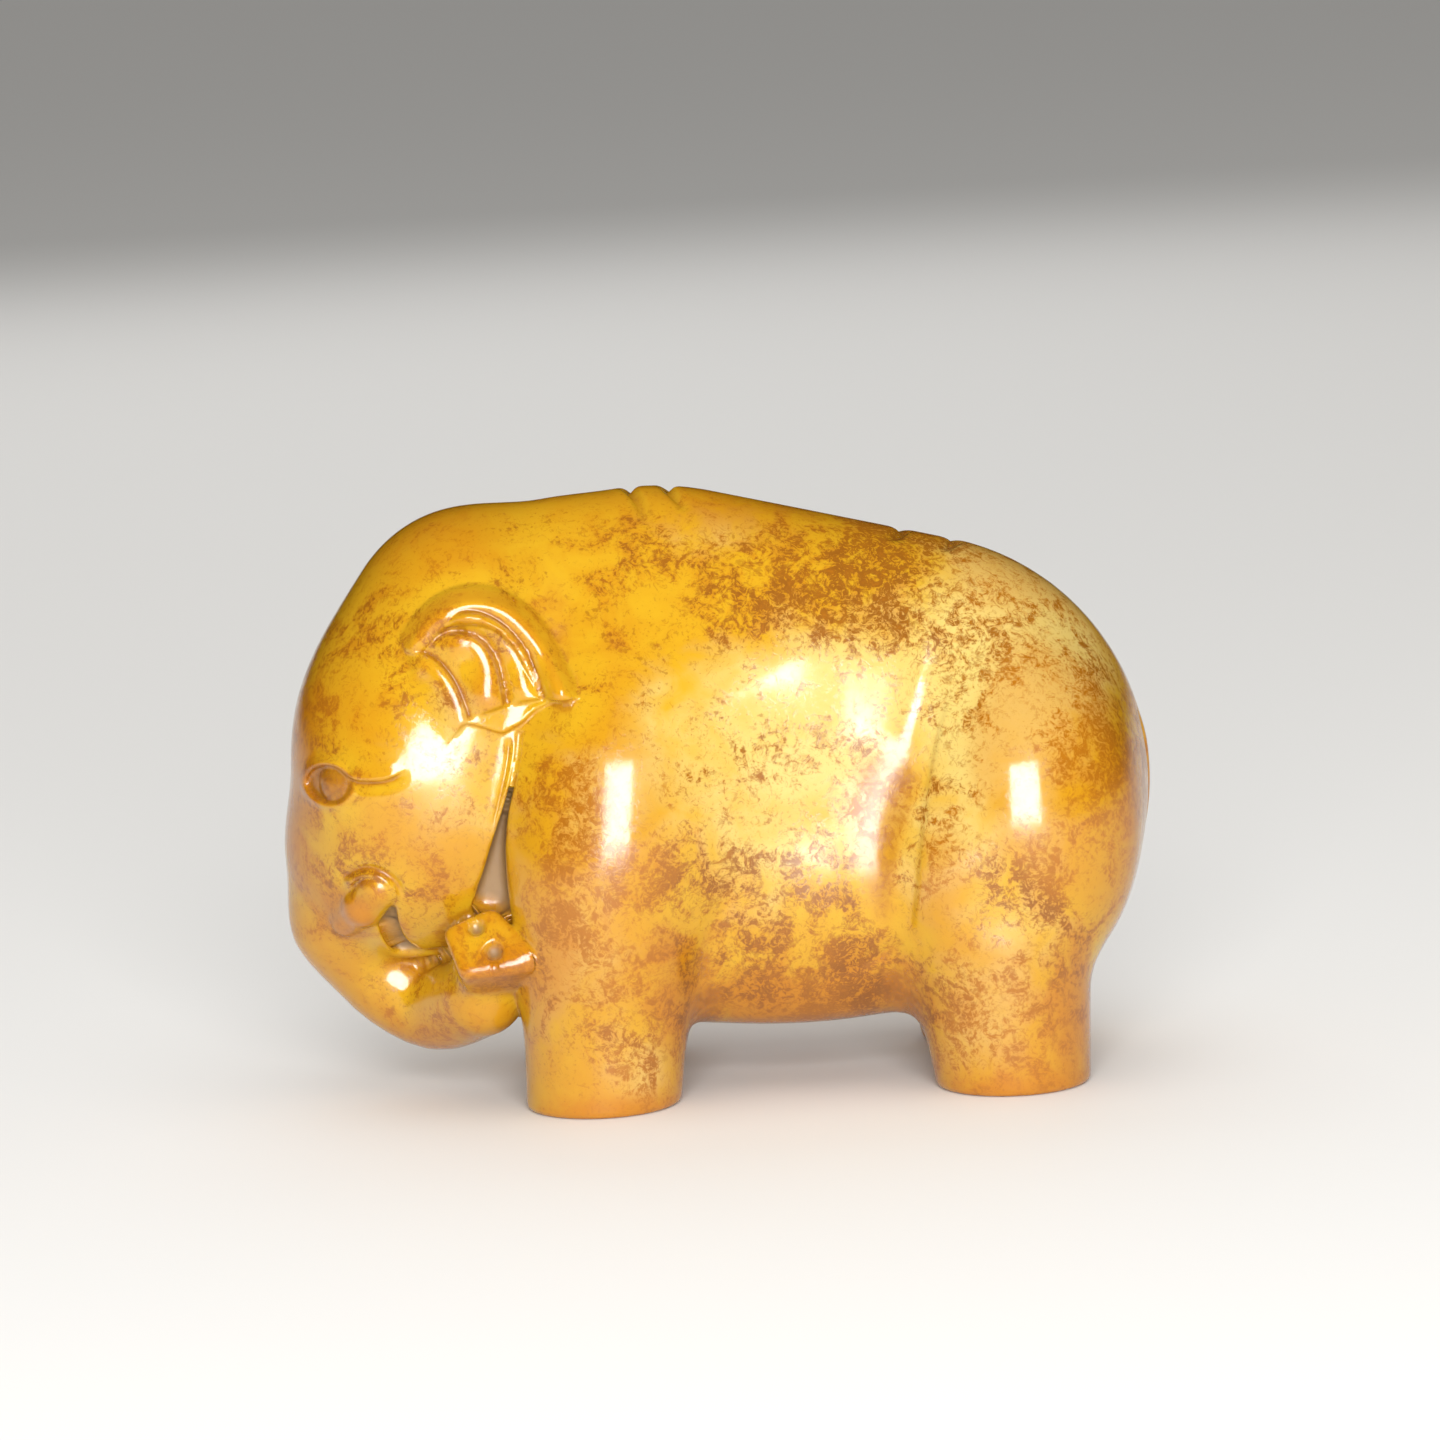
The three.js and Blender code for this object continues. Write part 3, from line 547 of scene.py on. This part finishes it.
    def tail(self, p):
        """Height of the tail that lies in low relief down the rump, and painted shade in the groove around it."""
        s = self.share
        wide = 1.3 + 0.5 * ramp(p[:, 2], 24 * s, 17 * s)
        off = np.abs(p[:, 1] + 0.02 * (p[:, 2] - 28 * s))
        fade = ramp(p[:, 0], 30 * s, 36 * s) * ramp(p[:, 2], 41 * s, 36 * s) * ramp(p[:, 2], 14.5 * s, 17 * s)
        strands = 0.08 * np.cos(off * 9) * ramp(p[:, 2], 22 * s, 18 * s)
        height = fade * (0.12 * np.sqrt(np.clip(1 - (off / wide) ** 2, 0, 1)) + strands * (off < wide))
        # Painted shade in the groove around the tail.
        groove = fade * np.exp(-(((off - wide - 0.15) / 0.3) ** 2))
        return height - 0.34 * groove, 0.7 * groove

    def draw_head(self, flat):
        """Relief, eye stain and painted shade of ear and face, and how far outside jaw groove and mouth gap a
        point is.
        """
        ear, ear_stain_and_shade = self.ear(flat)
        face, face_stain_and_shade = self.face(flat)
        jaw, _, _ = self.strokes["jaw_line"].measure(flat)
        leg, _, _ = self.strokes["leg_line"].measure(flat)
        _, mouth, _ = self.strokes["mouth_gap"].measure(flat)
        outside_jaw = np.maximum(np.maximum(jaw, -leg), flat[:, 1] - JAW_TOP * self.share) - 0.08
        return ear + face, np.maximum(ear_stain_and_shade, face_stain_and_shade), outside_jaw, mouth - 0.75

    def relief(self, p):
        """Height of all low relief over the rough form, and its eye stain and painted shade."""
        s = self.share
        flat = p[:, (0, 2)]
        side = ramp(np.abs(p[:, 1]), 4 * s, 8 * s)
        height = np.zeros(len(p))
        stain = np.zeros(len(p))
        for chart in (self.head_chart, self.body_chart):
            near = chart.holds(flat) & (side > 0)
            height[near] += chart.read(flat[near], RELIEF) * side[near]
            stain[near] = np.maximum(stain[near], chart.read(flat[near], STAIN_AND_SHADE) * side[near])
        for part, near in ((self.spine, p[:, 2] > BACK_NOTCHED * s), (self.tail, p[:, 0] > 30 * s)):
            if near.any():
                rise, dark = part(p[near])
                height[near] += rise
                stain[near] = np.maximum(stain[near], dark)
        return height, stain

    def slot(self, p, number, skin, depth):
        """Distance to a gap cut straight into both flanks along a line of the side view."""
        outside = self.head_chart.read(p[:, (0, 2)], number)
        return common(outside, skin - depth - np.abs(p[:, 1]), 0.6)

    def distance(self, p):
        """Distance to the whole carving."""
        s = self.share
        torso = self.torso(p) - self.relief(p)[0]
        cut = self.head_chart.holds(p[:, (0, 2)])
        jaw = self.slot(p[cut], JAW, JAW_SKIN * s, self.size["jaw_groove"])
        mouth = self.slot(p[cut], MOUTH, MOUTH_SKIN * s, self.size["mouth_gap"])
        torso[cut] = common(common(torso[cut], -jaw, 0.35), -mouth, 0.35)
        figure = self.with_trunk(p, torso)
        head = p[:, 0] < HEAD_BACK * s
        if head.any():
            figure[head] = self.features(p[head], figure[head])
        return common(figure, -p[:, 2], self.size["sole_edge"])

    def features(self, p, figure):
        """Adds eyeballs and tusks and sinks the nostrils."""
        near_side = p * (1, 0, 1) - np.abs(p) * (0, 1, 0)
        eye = np.linalg.norm(near_side - self.eye_ball, axis=1) - self.size["eye"] / 2
        figure = join(figure, eye, 0.12)
        thick = np.linspace(self.size["tusk"], self.size["tusk_tip"], len(self.tusk_line)) / 2
        tusk = None
        for i, (start, end) in enumerate(zip(self.tusk_line, self.tusk_line[1:])):
            part = taper(near_side, start, end, thick[i], thick[i + 1])
            tusk = part if tusk is None else join(tusk, part, 0.6)
        figure = join(figure, tusk, 0.3)
        for right, up in NOSTRILS:
            across = self.end_right * right + self.end_up * up
            centre = self.end_centre + across * self.size["trunk_end_width"]
            pit = np.linalg.norm((p - centre) - 0.1 * self.end_axis, axis=1) - self.size["nostril"] / 2
            figure = common(figure, -pit, 0.18)
        return figure


# Masks of the colouring, in hundredths of the length: x, z, reach in x, reach in z, strength
VEINED = (
    (-40, 29, 9, 9, 0.5), (-37, 53, 9, 8, 0.45), (-28, 36, 7, 9, 0.35), (-46, 45, 5, 9, 0.5), (-24, 54, 7, 6, 0.4),
    (-33, 12, 8, 6, 0.5), (-26, 18, 5, 4, 0.6),
    (-17.5, 29, 5, 10, 0.6), (-5.6, 27, 6, 9, 0.6), (20, 60, 10, 4, 0.9), (9, 17, 9, 9, 0.7), (-16, 40, 5, 5, 0.5),
    (16, 58, 13, 5, 1.0), (30, 50, 12, 8, 0.75), (43, 36, 8, 9, 0.95), (6, 26, 8, 5, 0.7), (13, 11, 17, 6, 1.0),
    (-15, 22, 6, 12, 0.55), (-9, 10, 5, 9, 0.7), (34, 24, 8, 8, 0.8), (38, 8, 7, 9, 0.6), (20, 32, 7, 8, 0.5),
    (-6, 62, 8, 4, 0.5), (4, 56, 9, 5, 0.45), (9, 40, 14, 9, 0.35), (26, 6, 5, 8, 0.4),
)
PALE = (
    (-2, 40, 12, 10, 0.6), (-14, 18, 7, 12, 0.5), (33, 20, 8, 10, 0.4),
    (34, 50, 15, 13, 1.0), (16, 44, 14, 10, 0.85), (-31, 40, 8, 10, 0.7), (9, 30, 13, 9, 0.6), (31, 33, 9, 9, 0.5),
    (-10, 5, 5, 6, 0.75), (28, 9, 6, 8, 0.6), (-10, 38, 8, 9, 0.35), (8, 64, 14, 5, 0.35),
)
# Deep orange: the real orange of the tusk, and painted shade along the outline, the underside, the belly and the
# feet.
DEEP_AND_SHADE = (
    (10, 10, 18, 6, 1.0), (-48, 42, 5, 16, 1.0), (-41.5, 23, 4, 4, 1.0), (-30, 8, 10, 5, 0.4), (-13, 0, 9, 3, 1.0),
    (32, 0, 9, 3, 0.9), (39, 10, 4, 10, 0.8), (-6, 14, 4, 12, 0.6), (48, 34, 5, 12, 0.6), (14, 66, 22, 4, 0.6),
    (-18, 22, 4, 12, 0.35), (-25, 17, 6, 4, 0.8), (-34, 50, 7, 5, 0.3),
)


def patches(p, share, table):
    """How strongly the patches of a table cover each point, from 0 to 1; the far side is shifted a little."""
    x = p[:, 0] / share + 5 * ramp(p[:, 1], 0, 6)
    z = p[:, 2] / share
    cover = np.zeros(len(p))
    for cx, cz, rx, rz, strength in table:
        cover = 1 - (1 - cover) * (1 - strength * np.exp(-(((x - cx) / rx) ** 2) - ((z - cz) / rz) ** 2))
    return cover


def read_points(mesh):
    points = np.empty(len(mesh.vertices) * 3)
    mesh.vertices.foreach_get("co", points)
    return points.reshape(-1, 3) / MM


def write_points(mesh, points):
    mesh.vertices.foreach_set("co", (points * MM).ravel())
    mesh.update()


def read_edges(mesh):
    edges = np.empty(len(mesh.edges) * 2, dtype=np.int32)
    mesh.edges.foreach_get("vertices", edges)
    return edges.reshape(-1, 2)


def neighbour_mean(points, edges):
    """The middle of each point's neighbours."""
    count = np.bincount(edges.ravel(), minlength=len(points))
    total = np.stack([
        np.bincount(edges[:, 0], points[edges[:, 1], axis], len(points))
        + np.bincount(edges[:, 1], points[edges[:, 0], axis], len(points))
        for axis in range(points.shape[1])
    ], axis=1)
    return total / count[:, None]


def settle(points, form, rounds):
    """Moves points onto the carved surface."""
    for _ in range(rounds):
        gap, slope = form.gap_and_slope(points, form.distance)
        square = np.maximum((slope**2).sum(1), 0.25)
        move = np.clip(gap / square, -0.5, 0.5)
        points = points - move[:, None] * slope
    return points


def even_out(points, edges, form, chosen, amount=0.5):
    """Slides the chosen points along the surface toward the middle of their neighbours."""
    normal = form.normal(points[chosen])
    shift = (neighbour_mean(points, edges) - points)[chosen]
    shift -= (shift * normal).sum(1)[:, None] * normal
    moved = points.copy()
    moved[chosen] = settle(points[chosen] + amount * shift, form, 1)
    return moved


def shape(piece, form, rounds=1, head_rounds=0):
    """Brings a piece onto the form and evens its faces, more often on the head."""
    points = settle(read_points(piece.data), form, 2)
    edges = read_edges(piece.data)
    everywhere = np.ones(len(points), dtype=bool)
    for _ in range(rounds):
        points = even_out(points, edges, form, everywhere)
    head = points[:, 0] < HEAD_BACK * form.share
    for _ in range(head_rounds):
        points = even_out(points, edges, form, head)
    write_points(piece.data, points)


def choose_only(piece):
    bpy.ops.object.select_all(action="DESELECT")
    piece.select_set(True)
    bpy.context.view_layer.objects.active = piece


def rough_out(name, grain):
    """A merged copy of the solid, made into even quads."""
    piece = bpy.data.objects.new(name, SOLID.data.copy())
    bpy.context.scene.collection.objects.link(piece)
    choose_only(piece)
    bpy.ops.object.mode_set(mode="EDIT")
    bpy.ops.mesh.select_all(action="SELECT")
    bpy.ops.mesh.remove_doubles(threshold=1e-6)
    bpy.ops.object.mode_set(mode="OBJECT")
    bpy.ops.object.modifier_add(type="REMESH")
    remesh = piece.modifiers[-1]
    remesh.mode = "VOXEL"
    remesh.voxel_size = grain
    bpy.ops.object.modifier_apply(modifier=remesh.name)
    return piece


def split_bends(piece, form, tolerance):
    """Splits the faces that stand further than the tolerance off the curved surface into four."""
    mesh = piece.data
    points = read_points(mesh)
    start, end = read_edges(mesh).T
    normal = form.normal(points)
    length = np.linalg.norm(points[start] - points[end], axis=1)
    turn = np.linalg.norm(normal[start] - normal[end], axis=1)
    bent = length * turn / 8 > tolerance
    choose_only(piece)
    bpy.ops.object.mode_set(mode="EDIT")
    bpy.ops.mesh.select_mode(type="EDGE")
    bpy.ops.mesh.select_all(action="DESELECT")
    bpy.ops.object.mode_set(mode="OBJECT")
    mesh.edges.foreach_set("select", bent)
    bpy.ops.object.mode_set(mode="EDIT")
    bpy.ops.mesh.select_mode(type="FACE", use_expand=True)
    bpy.ops.mesh.subdivide(number_cuts=1, ngon=False, quadcorner="INNERVERT")
    bpy.ops.object.mode_set(mode="OBJECT")


def write_mask(mesh, name, values):
    attribute = mesh.attributes.new(name, "FLOAT", "POINT")
    attribute.data.foreach_set("value", np.clip(values, 0, 1).astype(np.float32))


def write_masks(piece, form):
    """Keeps the eye stain and the painted shade of cuts and hollows, matt cuts, veins, pale patches and the deep
    orange and painted shade of outline and underside with the mesh.
    """
    mesh = piece.data
    points = read_points(mesh)
    edges = read_edges(mesh)
    _, stain = form.relief(points)
    normal = form.normal(points)
    soft = points
    for _ in range(30):
        soft = neighbour_mean(soft, edges)
    hollow = ((soft - points) * normal).sum(1)
    matt = np.zeros(len(points))
    held = form.head_chart.holds(points[:, (0, 2)])
    deep_inside = ramp(form.rough(points[held]), -0.25, -0.7)
    for number in (JAW, MOUTH):
        outside = form.head_chart.read(points[held][:, (0, 2)], number)
        matt[held] = np.maximum(matt[held], deep_inside * ramp(outside, 0.25, 0))
    # Hollows of the surface get painted shade, on top of the eye stain and the painted shade of the cuts.
    write_mask(mesh, "stain", np.maximum(stain, ramp(hollow, 0.06, 0.3) * 0.8))
    write_mask(mesh, "edge", ramp(-hollow, 0.05, 0.35))
    write_mask(mesh, "matt", matt)
    for name, table in (("veined", VEINED), ("pale", PALE), ("deep", DEEP_AND_SHADE)):
        write_mask(mesh, name, patches(points, form.share, table))


class Socket:
    """One output of a node, for writing shader maths as plain expressions."""

    def __init__(self, tree, output):
        self.tree = tree
        self.output = output

    def maths(self, operation, *values):
        return self.tree.node("ShaderNodeMath", {"operation": operation}, *values)

    def __add__(self, other):
        return self.maths("ADD", self, other)

    def __sub__(self, other):
        return self.maths("SUBTRACT", self, other)

    def __mul__(self, other):
        return self.maths("MULTIPLY", self, other)

    __radd__ = __add__

    def over(self, low, high):
        """Rises from 0 at low to 1 at high."""
        settings = {"interpolation_type": "SMOOTHSTEP"}
        return self.tree.node("ShaderNodeMapRange", settings, self, low, high, 0.0, 1.0)


class Tree:
    """The node tree of a material."""

    def __init__(self, name):
        self.material = bpy.data.materials.new(name)
        self.material.use_nodes = True
        self.tree = self.material.node_tree
        self.tree.nodes.clear()

    def node(self, kind, settings, *values, output=0, **named):
        made = self.tree.nodes.new(kind)
        for key, value in settings.items():
            setattr(made, key, value)
        inputs = list(enumerate(values)) + [(key.replace("_", " "), value) for key, value in named.items()]
        for key, value in inputs:
            socket = made.inputs[key]
            if isinstance(value, Socket):
                self.tree.links.new(value.output, socket)
            else:
                socket.default_value = value
        return Socket(self, made.outputs[output])

    def finish(self, shader):
        """Links a shader to the material's output."""
        output = self.tree.nodes.new("ShaderNodeOutputMaterial")
        self.tree.links.new(shader.output, output.inputs["Surface"])
        return self.material

    def mask(self, name):
        return self.node("ShaderNodeAttribute", {"attribute_name": name}, output="Fac")

    def mix(self, factor, a, b):
        made = self.tree.nodes.new("ShaderNodeMix")
        made.data_type = "RGBA"
        for socket, value in ((made.inputs[0], factor), (made.inputs[6], a), (made.inputs[7], b)):
            if isinstance(value, Socket):
                self.tree.links.new(value.output, socket)
            else:
                socket.default_value = value if socket is made.inputs[0] else (*value, 1)
        return Socket(self, made.outputs[2])


def jade(colours):
    """Polished yellow jade, clouded with cream and veined with rust, with painted shade in its cuts, hollows,
    outline and underside.
    """
    tree = Tree("Yellow jade")
    place = tree.node("ShaderNodeTexCoord", {}, output="Object")

    def noise(scale, detail=4.0, roughness=0.55, distortion=0.0, shift=(0, 0, 0)):
        moved = tree.node("ShaderNodeVectorMath", {"operation": "ADD"}, place, shift)
        return tree.node(
            "ShaderNodeTexNoise", {}, Vector=moved, Scale=scale, Detail=detail,
            Roughness=roughness, Distortion=distortion,
        )

    cloud = noise(110, 3, 0.5, 0.6)
    drift = noise(260, 4, 0.6, 1.0, (0.3, 0.1, 0.2))
    grain = noise(800, 5, 0.7, 1.5, (0.1, 0.5, 0.2))
    threads = noise(1300, 4, 0.7, 2.5, (0.7, 0.1, 0.4))
    pale = (tree.mask("pale") * 1.1 + (cloud - 0.5) * 1.3 + (drift - 0.5) * 0.8).over(0.25, 0.9)
    deep = (tree.mask("deep") * 1.1 + (cloud - 0.5) * 0.9 + (drift - 0.5) * 0.9).over(0.25, 0.85)
    veined = tree.mask("veined")
    blotch = (veined * 0.9 + (drift - 0.5) * 2.6 + (grain - 0.5) * 2.0).over(0.3, 0.85)
    fine = ((threads - 0.5) * 5.5 + (grain - 0.5) * 3.5 + (drift - 0.5) * 2.0 + veined * 1.0).over(0.3, 1.15)
    fleck = (noise(2600, 2, 0.5, 0.0, (0.2, 0.2, 0.9)) * 1.0 + (drift - 0.5) * 0.5).over(0.62, 0.74)
    warm = (drift * 2.2 + cloud * 1.2 - 1.25).over(0, 1) * 0.45
    tan = tree.mix(warm, tuple(colours.honey), tuple(colours.amber))
    base = tree.mix(pale, tan, tuple(colours.cream))
    # Painted shade along the outline, belly and feet, with the real orange of the tusk, in amber.
    base = tree.mix(deep * 0.8, base, tuple(colours.amber))
    base = tree.mix(blotch * 0.5, base, tuple(colours.amber))
    vein = tree.mix((grain * 1.6 + threads - 1.3).over(0, 0.5) * 0.5, tuple(colours.rust), tuple(colours.amber))
    base = tree.mix(fine * (0.4 + blotch * 0.55), base, vein)
    base = tree.mix(fleck * 0.5, base, tuple(colours.rust))
    edge = tree.mask("edge")
    base = tree.mix(edge * 0.45, base, tuple(colours.amber))
    # Stain and painted shade: amber, rust and umber darken the cuts, creases and hollows as painted shade, and the
    # eyes with their own brown.
    stain = tree.mask("stain")
    stain_and_shade_tint = (stain + (grain - 0.5) * 0.6).over(0.25, 0.95)
    base = tree.mix(stain_and_shade_tint * 0.6, base, tuple(colours.amber))
    base = tree.mix((stain + (grain - 0.5) * 0.8).over(0.55, 1.2) * 0.7, base, tuple(colours.rust))
    base = tree.mix((stain + (grain - 0.5) * 0.5).over(0.95, 1.3) * 0.6, base, tuple(colours.umber))
    matt = tree.mask("matt")
    base = tree.mix(matt * 0.9, base, tuple(colours.matt))
    rough = 0.11 + blotch * 0.05 + fine * 0.05 + stain * 0.12 + matt * 0.4
    waves = noise(170, 2, 0.4, 0.0, (0.4, 0.8, 0.1))
    height = waves * 1.0 + fine * -0.04 + threads * 0.02
    bump = tree.node("ShaderNodeBump", {}, Strength=0.25, Distance=0.00025, Height=height)
    shader = tree.node("ShaderNodeBsdfPrincipled", {}, Base_Color=base, Roughness=rough, Normal=bump)
    principled = shader.output.node
    principled.inputs["IOR"].default_value = 1.61
    principled.inputs["Subsurface Weight"].default_value = 0.2
    principled.inputs["Subsurface Radius"].default_value = (1.0, 0.5, 0.15)
    principled.inputs["Subsurface Scale"].default_value = 3 * MM
    return tree.finish(shader)


def plain(name, shade, roughness):
    tree = Tree(name)
    shader = tree.node("ShaderNodeBsdfPrincipled", {}, Base_Color=(*shade, 1), Roughness=roughness)
    return tree.finish(shader)


class JADE_OT_carve_elephant(bpy.types.Operator):
    """Carves the elephant finely over its solid and polishes it"""

    bl_idname = "jade.carve_elephant"
    bl_label = "Carve Elephant"

    def execute(self, context):
        sizes = context.scene.carving_sizes
        form = Form({name: getattr(sizes, name) for name in sizes.__annotations__})
        piece = rough_out("Carved_elephant", sizes.grain)
        shape(piece, form, 1, 3)
        for tolerance in SPLIT_TOLERANCES:
            split_bends(piece, form, tolerance)
            shape(piece, form, 1, 3)
        points = read_points(piece.data)
        middle = (points[:, 0].min() + points[:, 0].max()) / 2
        write_masks(piece, form)
        write_points(piece.data, points - (middle, 0, 0))
        choose_only(piece)
        bpy.ops.object.shade_smooth()
        piece.data.materials.clear()
        piece.data.materials.append(jade(context.scene.jade_colours))
        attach(piece, "root")
        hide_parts("elephant")
        return {"FINISHED"}


PHOTO_SIZE = 1440
PHOTO_SCALE = 0.0754 * MM
AIM_PIXEL = (714.16, 774.6)


class JADE_OT_set_studio(bpy.types.Operator):
    """Sets the floor, the soft lights and the camera"""

    bl_idname = "jade.set_studio"
    bl_label = "Set Studio"

    def execute(self, context):
        studio = context.scene.studio_settings
        bpy.ops.object.select_all(action="DESELECT")
        bpy.ops.mesh.primitive_plane_add(size=60.0, location=(0, 0, 0))
        floor = context.object
        floor.name = "Floor"
        bpy.ops.object.transform_apply(location=True, rotation=True, scale=True)
        floor.data.materials.append(plain("Floor", studio.floor, 0.7))
        world = bpy.data.worlds.new("Studio")
        world.use_nodes = True
        world.node_tree.nodes["Background"].inputs["Color"].default_value = (*studio.floor, 1)
        world.node_tree.nodes["Background"].inputs["Strength"].default_value = 0.5
        context.scene.world = world
        world.cycles_visibility.glossy = False
        context.scene.view_settings.view_transform = "Standard"
        self.soft_light("Front_softbox", studio.key, 1, 13, 0.55, (0.29, 0.33))
        for name, power, azimuth, elevation in (("Overhead", 1.0, 20, 75), ("Rear", 0.8, 190, 40)):
            fill = self.soft_light(name + "_softbox", studio.fill * power, azimuth, elevation, 0.8, (0.8, 0.8))
            fill.visible_glossy = False
        self.camera(context)
        return {"FINISHED"}

    def soft_light(self, name, power, azimuth, elevation, away, sides):
        a, e = math.radians(azimuth), math.radians(elevation)
        toward = Vector((math.sin(a) * math.cos(e), -math.cos(a) * math.cos(e), math.sin(e)))
        target = Vector((0, 0, 0.022))
        bpy.ops.object.light_add(type="AREA", location=target + toward * away)
        light = bpy.context.object
        light.name = name
        light.rotation_euler = toward.to_track_quat("Z", "Y").to_euler()
        light.data.shape = "RECTANGLE"
        light.data.size, light.data.size_y = sides
        light.data.energy = power
        light.visible_camera = False
        return light

    def camera(self, context):
        a, e, roll = math.radians(-1.0), math.radians(9.0), math.radians(2.9)
        back = Vector((math.sin(a) * math.cos(e), -math.cos(a) * math.cos(e), math.sin(e)))
        level = Vector((math.cos(a), math.sin(a), 0))
        upright = back.cross(level)
        right = level * math.cos(roll) - upright * math.sin(roll)
        up = level * math.sin(roll) + upright * math.cos(roll)
        away = 0.45
        target = Vector((-0.115 * MM, 0, 22.9 * MM))
        place = target + back * away
        view = Matrix((right, up, back)).transposed().to_4x4()
        view.translation = place
        bpy.ops.object.camera_add()
        camera = context.object
        camera.name = "Camera"
        camera.matrix_world = view
        camera.data.sensor_width = 36.0
        camera.data.lens = 36.0 * away / (PHOTO_SIZE * PHOTO_SCALE)
        camera.data.shift_x = (PHOTO_SIZE / 2 - AIM_PIXEL[0]) / PHOTO_SIZE
        camera.data.shift_y = (AIM_PIXEL[1] - PHOTO_SIZE / 2) / PHOTO_SIZE
        camera.data.clip_start = 0.01
        context.scene.camera = camera


class JADE_PT_elephant(bpy.types.Panel):
    bl_label = "Jade Elephant"
    bl_idname = "JADE_PT_elephant"
    bl_space_type = "VIEW_3D"
    bl_region_type = "UI"
    bl_category = "Jade Elephant"

    def draw(self, context):
        layout = self.layout
        for group in (context.scene.carving_sizes, context.scene.jade_colours, context.scene.studio_settings):
            for name in group.__annotations__:
                layout.prop(group, name)
        for operator in OPERATORS:
            layout.operator(operator.bl_idname)


OPERATORS = (JADE_OT_carve_elephant, JADE_OT_set_studio)
CLASSES = (CarvingSizes, JadeColours, StudioSettings, *OPERATORS, JADE_PT_elephant)


def register():
    for cls in CLASSES:
        bpy.utils.register_class(cls)
    bpy.types.Scene.carving_sizes = PointerProperty(type=CarvingSizes)
    bpy.types.Scene.jade_colours = PointerProperty(type=JadeColours)
    bpy.types.Scene.studio_settings = PointerProperty(type=StudioSettings)


def unregister():
    del bpy.types.Scene.studio_settings
    del bpy.types.Scene.jade_colours
    del bpy.types.Scene.carving_sizes
    for cls in reversed(CLASSES):
        bpy.utils.unregister_class(cls)


def main():
    register()
    bpy.ops.jade.carve_elephant()
    bpy.ops.jade.set_studio()


if __name__ == "__main__":
    main()
